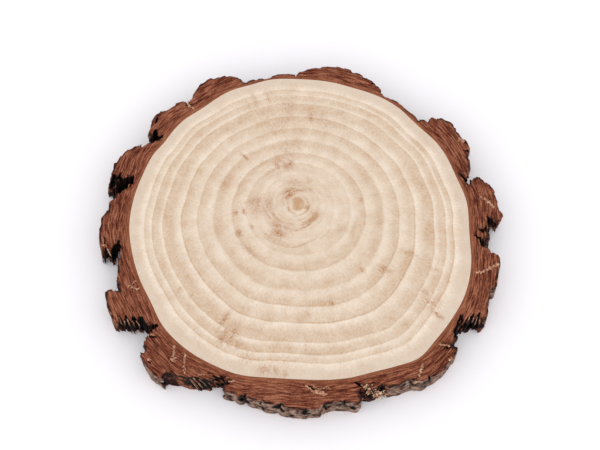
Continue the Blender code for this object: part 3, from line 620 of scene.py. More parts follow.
# Ledges left at the foot of a break: bearings from and to, how far they stand out past it and how high they
# reach, in mm
LEDGES = [(230.5, 236.0, 0.8, 5.5), (237.0, 243.5, 0.3, 4.5), (323.0, 330.5, 0.5, 7.0),
          (162.0, 170.0, 1.0, 8.5), (357.4, 362.0, 1.4, 9.5), (-2.0, 2.6, 2.4, 9.5), (287.0, 290.0, 0.6, 7.0)]
for from_way, to_way, stand_out, high in LEDGES:
    across = ease(from_way - 1, from_way + 1.5, T * 360) * ease(to_way + 1, to_way - 1.5, T * 360)
    level = high * (0.45 + 0.75 * drift(T, 130, layer_no, 0 * U, 37))
    ledge = np.maximum(edge - stand_out * across + 1.6 * lump + 0.5 * grain, U - level)
    outside = np.where(across > 0, np.minimum(outside, ledge), outside)

# The cut faces: each layer's softer part is worn to a shallow groove, and the face is chipped along its edges
groove = np.exp(-((layer_part - 0.5) / 0.17) ** 2) * ease(1.0, 4.0, D)
groove_here = 0.16 + 0.34 * ease(0.45, 0.75, drift(T, 60, layer_no, 0 * U, 41))
chip = ease(-1.6, 0.2, outside) * ease(0.40, 0.8, drift(T, 230, layer_no, 0 * U, 42))
fine = drift(T, 640, D / 0.9, 0 * U, 43)
upper = THICKNESS - 0.04 - groove * groove_here - 1.0 * chip - 0.12 * fine * ease(0.3, 2, D)
lower = 0.04 + 0.7 * groove * groove_here + 0.8 * chip + 0.10 * fine * ease(0.3, 2, D)
field = np.maximum.reduce([outside, U - upper, lower - U, -0.15 - D])
carved = np.full(field.shape, -9.0)  # how far inside a crevice or a pit each place is


def carve(cuts, pits):
    """Cuts crevices, each a tapered slot between two places down to a depth, and round pits."""
    jag_x = (drift(T, 330, D / 1.3, U / 2.0, 51) - 0.5) * 1.5
    jag_y = (drift(T, 330, D / 1.3, U / 2.0, 52) - 0.5) * 1.5
    for way, far, up, size in pits:
        columns = np.abs((turn * 360 - way + 180) % 360 - 180) < 3
        x = grid_x[columns][..., None] + jag_x[columns] * 1.6 - spot(way, far)[0]
        y = grid_y[columns][..., None] + jag_y[columns] * 1.6 - spot(way, far)[1]
        room = size - np.sqrt(x ** 2 + y ** 2 + ((U[columns] - up) * 0.8) ** 2)
        carved[columns] = np.maximum(carved[columns], room)
    for (way_a, far_a, wide_a), (way_b, far_b, wide_b), deep in cuts:
        centre = (way_a + way_b) / 2
        columns = np.abs((turn * 360 - centre + 180) % 360 - 180) < abs(way_a - way_b) / 2 + 3
        p, q = np.array(spot(way_a, far_a)), np.array(spot(way_b, far_b))
        d = q - p
        x = grid_x[columns][..., None] + jag_x[columns] - p[0]
        y = grid_y[columns][..., None] + jag_y[columns] - p[1]
        t = np.clip((x * d[0] + y * d[1]) / max(float(d @ d), 1e-6), 0, 1)
        away = np.hypot(x - t * d[0], y - t * d[1])
        height = sunk[columns]
        room = (wide_a + (wide_b - wide_a) * t) * np.sqrt(np.clip(1 - (height / deep) ** 2, 0, 1)) - away
        carved[columns] = np.maximum(carved[columns], np.minimum(room, deep - height))


# The crevices: each end's bearing, distance and half width in mm, and the depth in mm
CREVICES = [
    ((358.6, 113.0, 0.9), (359.2, 106.6, 0.3), 9), ((2.6, 114.8, 0.8), (3.6, 112.4, 0.4), 6),
    ((353.2, 109.4, 0.8), (355.0, 107.9, 0.5), 7), ((355.6, 107.4, 0.7), (357.0, 104.6, 0.25), 6),
    ((16.6, 107.5, 0.8), (18.0, 105.4, 0.6), 7), ((18.2, 105.6, 0.6), (21.0, 103.5, 0.2), 6),
    ((27.6, 115.9, 0.8), (28.3, 113.3, 0.4), 5), ((66.4, 112.4, 0.6), (67.0, 110.4, 0.3), 5),
    ((91.4, 110.4, 0.5), (91.8, 109.4, 0.3), 4), ((143.0, 112.6, 1.2), (146.0, 109.6, 0.7), 12),
    ((143.4, 107.8, 0.8), (143.6, 105.8, 0.3), 8), ((139.4, 118.2, 0.8), (141.0, 116.6, 0.4), 6),
    ((165.0, 118.4, 1.3), (163.5, 110.0, 0.9), 12), ((163.5, 111.0, 1.0), (163.4, 106.2, 0.3), 10),
    ((163.8, 113.4, 1.0), (161.0, 108.6, 0.35), 9), ((164.8, 112.2, 0.9), (167.6, 112.8, 0.3), 8),
    ((163.4, 117.2, 0.9), (161.4, 116.4, 0.4), 8), ((166.5, 118.6, 0.8), (168.6, 119.8, 0.3), 6),
    ((187.6, 117.2, 0.9), (190.8, 118.6, 0.5), 10), ((186.4, 112.6, 0.9), (190.2, 115.4, 0.7), 12),
    ((185.4, 110.0, 0.8), (187.8, 112.2, 0.6), 9), ((186.0, 118.4, 0.5), (183.2, 118.0, 0.2), 5),
    ((217.6, 111.0, 0.7), (218.4, 106.8, 0.3), 8), ((219.8, 114.3, 0.6), (221.2, 111.6, 0.4), 6),
    ((225.4, 125.6, 0.6), (226.2, 124.9, 0.4), 4), ((231.2, 126.0, 1.1), (233.8, 125.4, 0.8), 11),
    ((236.0, 128.0, 0.9), (237.2, 123.4, 1.0), 12), ((232.8, 126.4, 0.9), (236.6, 122.4, 0.7), 10),
    ((237.4, 121.4, 0.8), (242.4, 116.4, 0.7), 11), ((236.8, 119.3, 0.6), (241.6, 115.2, 0.5), 9),
    ((238.8, 123.0, 0.6), (243.0, 118.4, 0.6), 10), ((243.2, 114.4, 0.8), (244.3, 111.6, 0.5), 9),
    ((245.6, 110.3, 0.6), (246.2, 107.6, 0.3), 7), ((247.9, 109.0, 0.6), (248.4, 107.5, 0.3), 6),
    ((241.2, 110.6, 0.45), (241.5, 110.3, 0.4), 4), ((252.4, 118.4, 0.8), (253.8, 115.6, 0.6), 8),
    ((263.2, 119.8, 0.7), (264.4, 116.2, 0.6), 8), ((271.4, 120.8, 0.7), (271.2, 119.2, 0.5), 6),
    ((271.7, 104.6, 0.45), (273.9, 107.2, 0.25), 3), ((287.6, 112.6, 0.5), (288.4, 110.8, 0.4), 7),
    ((287.9, 109.6, 0.9), (286.9, 106.8, 0.4), 7), ((289.4, 114.2, 1.1), (291.4, 116.0, 1.3), 9),
    ((291.1, 111.6, 0.8), (292.2, 110.2, 0.4), 6), ((293.6, 116.8, 0.8), (294.2, 113.8, 0.6), 8),
    ((291.6, 115.4, 1.1), (293.4, 115.0, 0.8), 8), ((302.8, 122.4, 0.7), (303.6, 120.0, 0.4), 6),
    ((306.2, 125.6, 0.8), (307.0, 122.8, 0.4), 6), ((258.0, 119.0, 0.6), (258.6, 116.6, 0.4), 5),
    ((277.0, 119.0, 0.7), (276.4, 117.2, 0.5), 8), ((281.6, 119.0, 0.7), (282.4, 116.8, 0.5), 6),
    ((300.8, 121.0, 0.7), (301.9, 119.2, 0.4), 6), ((301.6, 124.2, 0.7), (302.4, 122.6, 0.5), 6),
    ((315.9, 113.8, 0.35), (316.2, 113.2, 0.3), 3), ((320.4, 115.2, 0.7), (327.5, 110.4, 0.35), 9),
    ((327.0, 116.4, 0.9), (330.4, 117.4, 0.5), 12), ((326.6, 119.8, 0.9), (330.8, 119.9, 0.5), 12),
    ((326.0, 122.6, 0.8), (329.6, 122.9, 0.4), 10), ((209.6, 122.6, 0.7), (212.4, 123.0, 0.8), 11),
    ((211.2, 119.2, 0.7), (214.0, 119.0, 0.8), 12), ((213.0, 115.4, 0.7), (215.6, 115.4, 0.8), 12),
    ((213.4, 112.6, 1.5), (215.8, 112.0, 1.3), 13), ((162.6, 119.6, 1.3), (165.6, 119.6, 1.4), 7),
    ((238.0, 117.6, 0.9), (241.8, 115.4, 0.9), 13),
]
# Pits in the outer side: bearing, distance, height and radius in mm
PITS = [
    (263.3, 117.4, 10.8, 1.9), (264.9, 118.4, 9.0, 1.4), (271.0, 119.8, 10.2, 1.9), (272.0, 120.0, 7.6, 1.3),
    (252.9, 115.6, 11.0, 1.8), (254.4, 115.8, 8.2, 1.6), (281.1, 117.6, 9.4, 1.7), (284.6, 119.6, 7.4, 1.3),
    (300.1, 118.8, 11.4, 1.2), (302.8, 121.6, 10.8, 1.2), (305.2, 124.0, 10.2, 1.1), (258.8, 116.4, 6.2, 1.4),
    (267.6, 119.4, 5.2, 1.3), (310.4, 125.2, 8.6, 1.1), (249.2, 115.6, 9.2, 1.3), (276.6, 117.0, 8.6, 1.3),
    (233.4, 124.6, 8.0, 2.0), (236.6, 121.6, 7.6, 1.8), (240.0, 118.2, 8.6, 1.6), (230.9, 127.4, 6.4, 1.4),
    (213.6, 114.2, 8.4, 2.2), (326.6, 114.6, 9.0, 1.8), (328.4, 119.0, 8.0, 1.6), (290.4, 116.0, 8.0, 1.7),
]
carve(CREVICES, PITS)
field = np.maximum(field, carved)


def joined(mask, start):
    """The part of the grid's mask that hangs together with a start."""
    found = start & mask
    while True:
        grown = found | np.roll(found, 1, 0) | np.roll(found, -1, 0)
        for axis in (1, 2):
            body = [slice(None)] * 3
            ahead, behind = list(body), list(body)
            ahead[axis], behind[axis] = slice(1, None), slice(None, -1)
            grown[tuple(ahead)] |= found[tuple(behind)]
            grown[tuple(behind)] |= found[tuple(ahead)]
        grown &= mask
        if grown.sum() == found.sum():
            return found
        found = grown


# a bit of bark that hangs on nothing is taken away, and a bubble of air inside the bark is filled
bark_in = joined(field < 0, (D > 0) & (D < 2))
field[(field < 0) & ~bark_in] = 0.2
open_air = joined(field >= 0, (U > THICKNESS + 0.3) | (D > 26.5))
field[(field >= 0) & ~open_air] = -0.2


def skin_of(field):
    """The surface where the grid passes from bark to air: places on the grid, and faces of four corners."""
    size = field.shape
    keys, offsets, quads, flips = [], [], [], []
    for axis in range(3):
        after = np.roll(field, -1, axis)
        crossing = (field < 0) != (after < 0)
        if axis:
            crossing[tuple(slice(-1, None) if k == axis else slice(None) for k in range(3))] = False
        at = np.argwhere(crossing)
        share = field[crossing] / (field[crossing] - after[crossing])
        u, v = (axis + 1) % 3, (axis + 2) % 3
        corner_keys = []
        for back_u, back_v in ((1, 1), (0, 1), (0, 0), (1, 0)):
            cell, local = at.copy(), np.zeros((len(at), 3))
            cell[:, u] -= back_u
            cell[:, v] -= back_v
            local[:, axis], local[:, u], local[:, v] = share, back_u, back_v
            cell[:, 0] %= size[0]
            key = (cell[:, 0] * size[1] + cell[:, 1]) * size[2] + cell[:, 2]
            corner_keys.append(key)
            keys.append(key)
            offsets.append(local)
        quads.append(np.stack(corner_keys, axis=1))
        flips.append(field[crossing] < 0)
    keys, offsets = np.concatenate(keys), np.concatenate(offsets)
    used, index = np.unique(keys, return_inverse=True)
    count = np.bincount(index)
    offset = np.stack([np.bincount(index, offsets[:, k]) / count for k in range(3)], axis=1)
    cell = np.stack([used // (size[1] * size[2]), used // size[2] % size[1], used % size[2]], axis=1)
    faces = np.searchsorted(used, np.concatenate(quads))
    flip = np.concatenate(flips)
    faces[flip] = faces[flip][:, ::-1]
    return cell + offset, faces


OUT_STEP = OUTWARD[1] - OUTWARD[0]
UP_STEP = UPWARD[1] - UPWARD[0]
FACES_KEPT = 92000  # of four corners, so that the piece stays under 200,000 triangles
grid_places, faces = skin_of(field)
way = grid_places[:, 0] / COLUMNS * 2 * math.pi
rim_here = np.interp(grid_places[:, 0] / COLUMNS, np.append(turn, 1.0), np.append(rim_at, rim_at[0]))
distance = rim_here + OUTWARD[0] + grid_places[:, 1] * OUT_STEP
height = UPWARD[0] + grid_places[:, 2] * UP_STEP
bark_x = WOOD_MIDDLE[0] + distance * np.cos(way)
bark_y = WOOD_MIDDLE[1] + distance * np.sin(way)
bark = piece_from("pine_bark_ring", np.stack([bark_x, bark_y, height], axis=1), faces)
thin = bark.modifiers.new("fewer_faces", "DECIMATE")
thin.ratio = min(1.0, FACES_KEPT / len(faces))
bpy.context.view_layer.objects.active = bark
bpy.ops.object.modifier_apply(modifier="fewer_faces")
bark.data.shade_smooth()
bark.data.set_sharp_from_angle(angle=math.radians(50))

# What the finish reads at each corner, worked out again from where the corner lies
count = len(bark.data.vertices)
places = np.empty(count * 3, np.float32)
bark.data.vertices.foreach_get("co", places)
places = places.reshape(-1, 3).astype(float) * 1000
normal = np.empty(count * 3, np.float32)
bark.data.vertices.foreach_get("normal", normal)
normal = normal.reshape(-1, 3)
out_x, out_y = places[:, 0] - WOOD_MIDDLE[0], places[:, 1] - WOOD_MIDDLE[1]
turn_at = np.arctan2(out_y, out_x) / (2 * math.pi) % 1
out_at = np.hypot(out_x, out_y) - np.interp(turn_at, np.append(turn, 1.0), np.append(rim_at, rim_at[0]))
up_at = places[:, 2]


def at_corners(block):
    """The grid's values read at the nearest place to each corner."""
    i = np.round(turn_at * COLUMNS).astype(int) % COLUMNS
    j = np.clip(np.round((out_at - OUTWARD[0]) / OUT_STEP).astype(int), 0, len(OUTWARD) - 1)
    k = np.clip(np.round((up_at - UPWARD[0]) / UP_STEP).astype(int), 0, len(UPWARD) - 1)
    return block[i, j, k]


edge_at, skin_at, recess_at = at_corners(edge), at_corners(skin), at_corners(recess)
sunk_at = np.clip(THICKNESS - up_at, 0, None)
upright = ease(0.80, 0.45, np.abs(normal[:, 2]))
weather = skin_at * upright * ease(-3.2, -1.6, edge_at) * ease(0.3, 0.9, sunk_at)
broken = ease(0.3, 1.2, sunk_at) * (1 - weather) * (up_at > 0.6)
brown_lump = ease(0.50, 0.66, drift(turn_at, 190, up_at / 2.4, out_at / 2.2, 62))
# Painted shade: a broken side is darkened towards black the further it sinks below the cut face, the deeper it
# lies in a recess and the further it lies inside the outline, and brown lumps a little less
in_shade = 0.95 * ease(0.6, 2.6, sunk_at) * (1 - 0.55 * brown_lump)
painted_recess_shade = 0.30 + 0.70 * ease(0.3, 1.4, recess_at)
dark = broken * np.maximum.reduce([painted_recess_shade, in_shade, ease(-1.6, -2.8, edge_at)])
# Painted shade in the crevices and pits, darker the further down they go
painted_crevice_shade = ease(-0.8, -0.2, at_corners(carved)) * ease(0.15, 0.9, sunk_at)
scale_at, step_at = at_corners(scale), at_corners(step_no)
# Painted shade in the cracks between the weathered scales
painted_crack_shade = ease(0.14, 0.04, np.minimum(scale_at - step_at, step_at + 1 - scale_at)) * weather
# Painted shadow: a dark line along the rim of the cut face, just below its edge, in patches round the ring
painted_rim_shadow = 0.9 * ease(-1.3, -0.3, edge_at) * ease(0.9, 0.5, sunk_at)
painted_rim_shadow *= ease(0.15, 0.60, drift(turn_at, 300, 0.0, 0.0, 61))
mark(bark, "weathered", weather)
# The dark mark carries all of this painted shade to the finish
mark(bark, "dark", np.maximum.reduce([dark, 0.6 * painted_crack_shade, painted_rim_shadow, painted_crevice_shade]))
mark(bark, "across_layers", out_at + layer_wave(turn_at, out_at, up_at))
mark(bark, "out_from_wood", out_at)
angle_at = turn_at * 2 * math.pi
round_bark = [BARK_RADIUS * np.cos(angle_at), BARK_RADIUS * np.sin(angle_at), up_at]
mark(bark, "round_trunk", np.stack(round_bark, axis=1))

# Dead cork, sawn across: red-brown and dull, in dark and light layers that follow the rim, paler by the wood.
# Its outer side has weathered to grey-brown. Its crevices are dark, and painted shade darkens them, its broken
# sides, the cracks of its scales and the rim of its cut face towards almost black.
CORK_DARK, CORK_RED, CORK_LIGHT = "#48190D", "#78412D", "#A1674D"
CORK_BY_WOOD, CREVICE_DARK_AND_SHADE = "#945A3D", "#080404"
WEATHERED_DARK, WEATHERED_BROWN, WEATHERED_PALE = "#36231D", "#70584C", "#8D7568"
STREAKS_PER_MM = (0.16, 0.16, 0.10)  # a streak in the layers is about 6 mm long, and 10 mm high
STREAKS_ACROSS = 1.75  # per mm, so a streak is about 0.6 mm wide
RAYS_PER_MM = (1.1, 1.1, 0.5)  # the rays that cross the layers are about 0.9 mm wide
RAYS_OUTWARD = 1.6  # per mm
PATCHES_PER_MM, WEATHER_PER_MM = 0.16, 0.34  # patches of about 6 mm, and weathered spots of about 3 mm
cork, tree = empty_finish("sawn_and_weathered_pine_cork")
across = add(tree, "Attribute", attribute_name="across_layers").outputs["Fac"]
out = add(tree, "Attribute", attribute_name="out_from_wood").outputs["Fac"]
round_trunk = add(tree, "Attribute", attribute_name="round_trunk").outputs["Vector"]
streak_way = add(tree, "VectorMath", {0: round_trunk, 1: STREAKS_PER_MM}, operation="MULTIPLY").outputs[0]
streak_out = add(tree, "Math", {0: across, 1: STREAKS_ACROSS}, operation="MULTIPLY").outputs[0]
layers = add(tree, "TexNoise", {"Vector": streak_way, "W": streak_out, "Scale": 1.0, "Detail": 1.0,
                                "Roughness": 0.4}, noise_dimensions="4D").outputs["Fac"]
ray_way = add(tree, "VectorMath", {0: round_trunk, 1: RAYS_PER_MM}, operation="MULTIPLY").outputs[0]
ray_out = add(tree, "Math", {0: out, 1: RAYS_OUTWARD}, operation="MULTIPLY").outputs[0]
rays = add(tree, "TexNoise", {"Vector": ray_way, "W": ray_out, "Scale": 1.0, "Detail": 2.0,
                              "Roughness": 0.6}, noise_dimensions="4D").outputs["Fac"]
patch = add(tree, "TexNoise", {"Vector": round_trunk, "Scale": PATCHES_PER_MM, "Detail": 2.0,
                               "Roughness": 0.5}).outputs["Fac"]
tone = add(tree, "MapRange", {"Value": layers, "From Min": 0.31, "From Max": 0.69,
                              "To Min": -0.03, "To Max": 1.0}).outputs[0]
for pattern, depth in ((rays, 0.58), (patch, 0.22)):
    around_zero = add(tree, "MapRange", {"Value": pattern, "From Min": 0.3, "From Max": 0.7,
                                         "To Min": -depth / 2, "To Max": depth / 2}).outputs[0]
    tone = add(tree, "Math", {0: tone, 1: around_zero}, operation="ADD").outputs[0]
cut = add(tree, "ValToRGB", {"Fac": tone})
ramp = cut.color_ramp
ramp.elements[0].position, ramp.elements[0].color = 0.0, linear(CORK_DARK)
ramp.elements[1].position, ramp.elements[1].color = 1.0, linear(CORK_LIGHT)
ramp.elements.new(0.50).color = linear(CORK_RED)
by_wood = add(tree, "MapRange", {"Value": out, "From Min": 0.4, "From Max": 3.2,
                                 "To Min": 0.6, "To Max": 0.0}).outputs[0]
cut_face = add(tree, "Mix", {0: by_wood, 6: cut.outputs["Color"], 7: linear(CORK_BY_WOOD)},
               data_type="RGBA").outputs[2]
weather_tone = add(tree, "TexNoise", {"Vector": round_trunk, "Scale": WEATHER_PER_MM, "Detail": 3.0,
                                      "Roughness": 0.6}).outputs["Fac"]
side = add(tree, "ValToRGB", {"Fac": weather_tone})
ramp = side.color_ramp
ramp.elements[0].position, ramp.elements[0].color = 0.38, linear(WEATHERED_DARK)
ramp.elements[1].position, ramp.elements[1].color = 0.64, linear(WEATHERED_PALE)
ramp.elements.new(0.49).color = linear(WEATHERED_BROWN)
weathered = add(tree, "Attribute", attribute_name="weathered").outputs["Fac"]
with_side = add(tree, "Mix", {0: weathered, 6: cut_face, 7: side.outputs["Color"]},
                data_type="RGBA").outputs[2]
# Painted shade: the dark mark mixes the bark towards almost black
depth = add(tree, "Attribute", attribute_name="dark").outputs["Fac"]
with_painted_shade = add(tree, "Mix", {0: depth, 6: with_side, 7: linear(CREVICE_DARK_AND_SHADE)}, data_type="RGBA").outputs[2]
height = add(tree, "Math", {0: layers, 1: rays}, operation="ADD").outputs[0]
bump = add(tree, "Bump", {"Height": height, "Strength": 0.5, "Distance": 0.0005}).outputs[0]
shader = add(tree, "BsdfPrincipled", {"Base Color": with_painted_shade, "Roughness": 0.88, "IOR": 1.45,
                                      "Specular IOR Level": 0.2, "Normal": bump})
add(tree, "OutputMaterial", {"Surface": shader.outputs[0]})
bark.data.materials.append(cork)
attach(bark, "root")
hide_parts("bark")

# Torn bark: pale fibres that the saw pulled up along cracks in the cut face, and thin slivers that stand out
# where a plate broke across its layers. They are still held by the bark at one end.


def splinter(places, faces, start, end, width, tall, bow, seed):
    """Adds a torn strip between two places, each a bearing, a distance and a height; its sizes are in mm."""
    draw = np.random.default_rng(seed)
    a = np.array([*spot(start[0], start[1]), start[2]])
    b = np.array([*spot(end[0], end[1]), end[2]])
    side = np.cross([0.0, 0.0, 1.0], b - a)
    side /= max(np.linalg.norm(side), 1e-6)
    rise = np.cross(b - a, side)
    rise /= max(np.linalg.norm(rise), 1e-6)
    stations, corners = 7, 6
    first = len(places)
    for k in range(stations):
        t = k / (stations - 1)
        taper = (0.35 + 0.65 * ease(0, 0.3, t)) * (0.22 + 0.78 * ease(1.0, 0.65, t)) * draw.uniform(0.7, 1.25)
        middle = a + (b - a) * t + rise * bow * 4 * t * (1 - t) + side * draw.uniform(-0.3, 0.3) * width
        for c in range(corners):
            angle = 2 * math.pi * c / corners + 0.4
            aside = side * math.cos(angle) * width / 2 * taper
            places.append(middle + aside + rise * math.sin(angle) * tall / 2 * taper)
    for k in range(stations - 1):
        for c in range(corners):
            d = (c + 1) % corners
            low_ring, high_ring = first + k * corners, first + (k + 1) * corners
            faces.append([low_ring + c, low_ring + d, high_ring + d, high_ring + c])
    faces.append([first + c for c in reversed(range(corners))])
    faces.append([first + (stations - 1) * corners + c for c in range(corners)])


# Torn lines on the cut face: the bearing and distance of each corner, and the width in mm
TORN_LINES = [
    ([(10.6, 110.9), (9.6, 113.6), (6.6, 117.4)], 0.9), ([(32.6, 115.0), (30.8, 117.1)], 1.5),
    ([(343.2, 108.3), (344.2, 112.6), (345.9, 115.9), (347.2, 119.1), (348.1, 119.9)], 1.1),
    ([(307.8, 114.5), (305.8, 117.9), (304.6, 118.8), (304.9, 120.6)], 0.9),
    ([(314.0, 123.8), (314.9, 123.1)], 1.2),
    ([(271.2, 104.6), (272.6, 106.6), (273.6, 108.2)], 0.7), ([(278.3, 106.7), (278.7, 108.4)], 0.5),
    ([(273.6, 105.3), (275.8, 107.6), (278.0, 106.6)], 0.4),
    ([(226.9, 108.1), (228.6, 111.3), (230.3, 116.0)], 0.8), ([(229.4, 113.6), (230.5, 116.4)], 1.7),
    ([(231.5, 107.5), (233.6, 113.6), (235.1, 117.6)], 0.7),
    ([(201.5, 110.1), (202.6, 107.4), (204.0, 104.6)], 0.9),
    ([(200.7, 104.8), (201.8, 107.9)], 0.6), ([(128.5, 114.0), (129.1, 110.6), (128.2, 106.4)], 0.8),
    ([(224.6, 124.3), (225.8, 125.2)], 0.9), ([(315.6, 112.4), (317.3, 117.6)], 0.8),
    ([(302.0, 121.4), (303.2, 122.6)], 0.7), ([(186.6, 117.6), (186.2, 119.2)], 0.8),
    ([(219.4, 113.4), (220.6, 111.8)], 0.6), ([(238.6, 114.6), (240.4, 112.4)], 0.6),
    ([(249.4, 108.4), (247.6, 110.8)], 0.6),
]
# Slivers along broken layers: bearing, distance and height at each end, width and height across in mm
SLIVERS = [
    (235.0, 117.4, 14.7, 240.1, 118.0, 5.0, 0.9, 1.6), (236.0, 117.8, 14.4, 240.6, 119.4, 4.2, 0.7, 1.4),
    (236.6, 116.6, 14.6, 241.0, 116.9, 6.0, 0.9, 1.7), (237.6, 115.8, 14.5, 241.6, 114.7, 6.0, 0.8, 1.4),
    (238.6, 114.9, 14.4, 242.6, 113.6, 7.4, 0.8, 1.2), (187.4, 117.0, 14.7, 189.7, 114.9, 12.0, 1.1, 0.9),
    (209.0, 124.8, 14.7, 210.4, 124.6, 10.0, 1.0, 1.2), (209.6, 122.9, 14.5, 211.2, 122.6, 9.0, 0.8, 1.1),
    (210.2, 121.2, 14.6, 211.6, 121.0, 9.6, 0.9, 1.3), (211.2, 119.2, 14.7, 212.6, 118.8, 8.6, 0.8, 1.2),
    (211.8, 117.3, 14.6, 213.4, 116.8, 8.2, 0.9, 1.3), (213.2, 115.2, 14.7, 214.6, 114.6, 9.6, 0.7, 1.0),
    (328.6, 116.0, 14.6, 327.2, 115.6, 10.2, 0.7, 1.1), (329.6, 117.8, 14.7, 328.2, 118.0, 9.2, 0.8, 1.3),
    (329.6, 119.6, 14.5, 328.0, 120.0, 8.6, 0.7, 1.2), (330.2, 121.4, 14.6, 328.8, 121.8, 9.6, 0.8, 1.2),
]
places, faces = [], []
for number, (line, width) in enumerate(TORN_LINES):
    draw = np.random.default_rng(900 + number)
    for (way_a, far_a), (way_b, far_b) in zip(line, line[1:]):
        count = max(1, round(math.dist(spot(way_a, far_a), spot(way_b, far_b)) / 0.8))
        for k in range(count):
            t, slip = k / count, draw.uniform(-0.5, 0.5, 4) * (0.5, 0.6, 0.9, 0.9)
            u = t + draw.uniform(0.9, 1.6) / count
            start = (way_a + (way_b - way_a) * t + slip[0], far_a + (far_b - far_a) * t + slip[1],
                     THICKNESS - 0.25)
            end = (way_a + (way_b - way_a) * u + slip[2], far_a + (far_b - far_a) * u + slip[3],
                   THICKNESS + 0.15)
            broad = width * draw.uniform(1.0, 2.3)
            splinter(places, faces, start, end, broad, 0.5, 0.15, 1000 + 40 * number + k)
for number, sliver in enumerate(SLIVERS):
    splinter(places, faces, sliver[0:3], sliver[3:6], sliver[6], sliver[7], 0.4, 2000 + number)
# a flat chip, half torn off the cut face, and a flake that hangs from the weathered side
splinter(places, faces, (273.5, 108.5, 14.95), (277.9, 110.9, 15.1), 3.1, 0.45, 0.0, 2101)
splinter(places, faces, (275.9, 118.0, 12.6), (276.4, 118.9, 5.2), 2.2, 0.9, 0.2, 2102)
torn = piece_from("torn_bark_fibres", places, faces)
torn.data.shade_smooth()

# Torn cork and bast: dull, fibrous and paler than the cut face, since light scatters between loose fibres
FIBRES_PER_METRE = 520.0  # so a fibre is about 2 mm wide, drawn coarser than real ones
TORN_DARK, TORN_TAN, TORN_PALE = "#7C4836", "#AC7C62", "#C9A38B"
TORN_SHADE_BELOW = 0.45  # the fibres that hang down in a crevice are darkened by painted shade, the lower the darker
torn_cork, tree = empty_finish("torn_cork_fibre")
here = add(tree, "TexCoord").outputs["Object"]
fibre = add(tree, "TexNoise", {"Vector": here, "Scale": FIBRES_PER_METRE, "Detail": 2.0,
                               "Roughness": 0.6}).outputs["Fac"]
torn_tone = add(tree, "ValToRGB", {"Fac": fibre})
ramp = torn_tone.color_ramp
ramp.elements[0].position, ramp.elements[0].color = 0.30, linear(TORN_DARK)
ramp.elements[1].position, ramp.elements[1].color = 0.68, linear(TORN_PALE)
ramp.elements.new(0.48).color = linear(TORN_TAN)
# Painted shade: fibres are darker the lower they reach, down to 0.45 of their colour at 12 mm up
up = add(tree, "SeparateXYZ", {0: here}).outputs["Z"]
painted_depth_shade = add(tree, "MapRange", {"Value": up, "From Min": 0.012, "From Max": 0.0148,
                               "To Min": TORN_SHADE_BELOW, "To Max": 1.0}).outputs[0]
torn_shade = add(tree, "VectorMath", {0: torn_tone.outputs["Color"], 1: painted_depth_shade},
                 operation="MULTIPLY").outputs[0]
bump = add(tree, "Bump", {"Height": fibre, "Strength": 0.4, "Distance": 0.0003}).outputs[0]
shader = add(tree, "BsdfPrincipled", {"Base Color": torn_shade, "Roughness": 0.9, "IOR": 1.45,
                                      "Specular IOR Level": 0.15, "Normal": bump})
add(tree, "OutputMaterial", {"Surface": shader.outputs[0]})
torn.data.materials.append(torn_cork)
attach(torn, "root")

# The twig stub: where a twig left the trunk its wood was torn off short, and cream splinters of it stand out
# of a hole in the bark at the front.
TWIG_TOP, TWIG_FOOT = (289.7, 111.6, 14.2), (293.0, 116.2, 8.4)  # bearing, distance and height
TWIG_SPREAD = (1.1, 1.2, 1.0)
draw = np.random.default_rng(77)
places, faces = [], []
for number in range(64):
    t = 0.3 * (number + 0.5) / 30 if number < 30 else 0.6 + 0.5 * (number - 29.5) / 34
    start = [a + (b - a) * t + draw.uniform(-1, 1) * s for a, b, s in zip(TWIG_TOP, TWIG_FOOT, TWIG_SPREAD)]
    lean = [draw.uniform(-1.7, 2.0), draw.uniform(-1.2, 3.0), draw.uniform(-3.0, 1.6)]
    end = [start[0] + lean[0], start[1] + lean[1], max(1.5, min(start[2] + lean[2], 15.4))]
    width, tall, bow = draw.uniform(0.8, 1.8), draw.uniform(0.6, 1.1), draw.uniform(-0.6, 1.2)
    splinter(places, faces, start, end, width, tall, bow, 3000 + number)
twig = piece_from("torn_twig_stub", places, faces)
twig.data.shade_smooth()

# Torn pine wood: raw and never sanded, cream where it is fresh and brown where resin and bark have stained it
GRAIN_PER_METRE = 450.0  # so a fibre is about 2.2 mm wide, drawn coarser than real ones
TWIG_BROWN, TWIG_TAN, TWIG_CREAM = "#6A4230", "#A8846A", "#D6C0A4"
twig_wood, tree = empty_finish("torn_pine_wood")
here = add(tree, "TexCoord").outputs["Object"]
fibre = add(tree, "TexNoise", {"Vector": here, "Scale": GRAIN_PER_METRE, "Detail": 2.0,
                               "Roughness": 0.6}).outputs["Fac"]
twig_tone = add(tree, "ValToRGB", {"Fac": fibre})
ramp = twig_tone.color_ramp
ramp.elements[0].position, ramp.elements[0].color = 0.42, linear(TWIG_BROWN)
ramp.elements[1].position, ramp.elements[1].color = 0.68, linear(TWIG_CREAM)
ramp.elements.new(0.54).color = linear(TWIG_TAN)
bump = add(tree, "Bump", {"Height": fibre, "Strength": 0.4, "Distance": 0.0003}).outputs[0]
shader = add(tree, "BsdfPrincipled", {"Base Color": twig_tone.outputs["Color"], "Roughness": 0.85,
                                      "IOR": 1.45, "Specular IOR Level": 0.15, "Normal": bump})
add(tree, "OutputMaterial", {"Surface": shader.outputs[0]})
twig.data.materials.append(twig_wood)
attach(twig, "root")

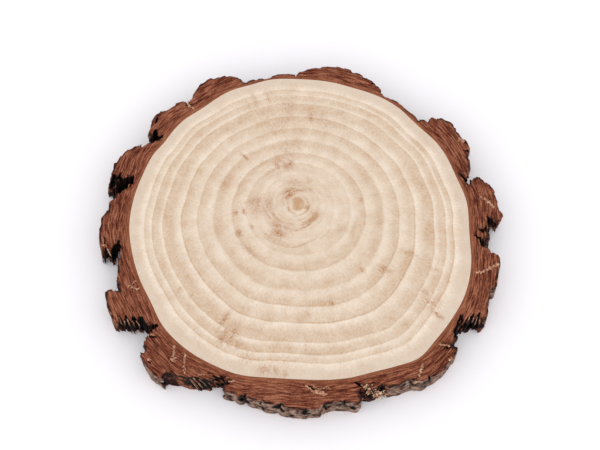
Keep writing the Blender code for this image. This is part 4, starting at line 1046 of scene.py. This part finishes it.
# The studio: a white sheet that the slice lies on, under a white sky that is brightest low down and towards
# the front, so its shadow is only a soft halo
SHEET_HALF = 3000  # half the sheet's width in mm, far past the edge of the picture
SHEET_WHITE = "#FBF9FD"
SKY_LOW, SKY_OVERHEAD = 2.9, 0.80  # the light's strength
SKY_FRONT, SKY_BACK = 1.28, 0.72  # what it is multiplied by
floor_paper = bpy.data.materials.new("white_paper")
floor_paper.use_nodes = True
floor_shader = floor_paper.node_tree.nodes["Principled BSDF"]
floor_shader.inputs["Base Color"].default_value = linear(SHEET_WHITE)
floor_shader.inputs["Roughness"].default_value = 1.0
floor_shader.inputs["Specular IOR Level"].default_value = 0.0
corners = [(x * SHEET_HALF, y * SHEET_HALF, 0) for x, y in ((-1, -1), (1, -1), (1, 1), (-1, 1))]
floor = piece_from("white_sheet", corners, [(0, 1, 2, 3)])
floor.data.materials.append(floor_paper)

sky = bpy.data.worlds.new("white_sky")
sky.use_nodes = True
tree = sky.node_tree
background = tree.nodes["Background"]
background.inputs["Color"].default_value = (1.0, 1.0, 1.0, 1.0)
toward = add(tree, "SeparateXYZ", {0: add(tree, "TexCoord").outputs["Generated"]})
upward = add(tree, "MapRange", {"Value": toward.outputs["Z"], "From Min": 0.0, "From Max": 0.7,
                                "To Min": SKY_LOW, "To Max": SKY_OVERHEAD}).outputs[0]
ahead = add(tree, "MapRange", {"Value": toward.outputs["Y"], "From Min": -1.0, "From Max": 1.0,
                               "To Min": SKY_FRONT, "To Max": SKY_BACK}).outputs[0]
strength = add(tree, "Math", {0: upward, 1: ahead}, operation="MULTIPLY").outputs[0]
tree.links.new(strength, background.inputs["Strength"])
bpy.context.scene.world = sky
bpy.context.scene.view_settings.view_transform = "Standard"

# The camera looks down on the slice from the front, 61 degrees above the floor
CAMERA_TILT = 61.0
CAMERA_FAR = 1.10
camera_data = bpy.data.cameras.new("camera")
camera_data.lens = 110.0
camera_data.sensor_width = 36.0
camera_data.shift_x = -0.0018
camera_data.shift_y = 0.0142
camera = bpy.data.objects.new("camera", camera_data)
tilt = math.radians(CAMERA_TILT)
camera.location = (-0.0008, -0.0033 - CAMERA_FAR * math.cos(tilt), 0.015 + CAMERA_FAR * math.sin(tilt))
camera.rotation_euler = (math.pi / 2 - tilt, 0.0, 0.0)
bpy.context.scene.collection.objects.link(camera)
bpy.context.scene.camera = camera
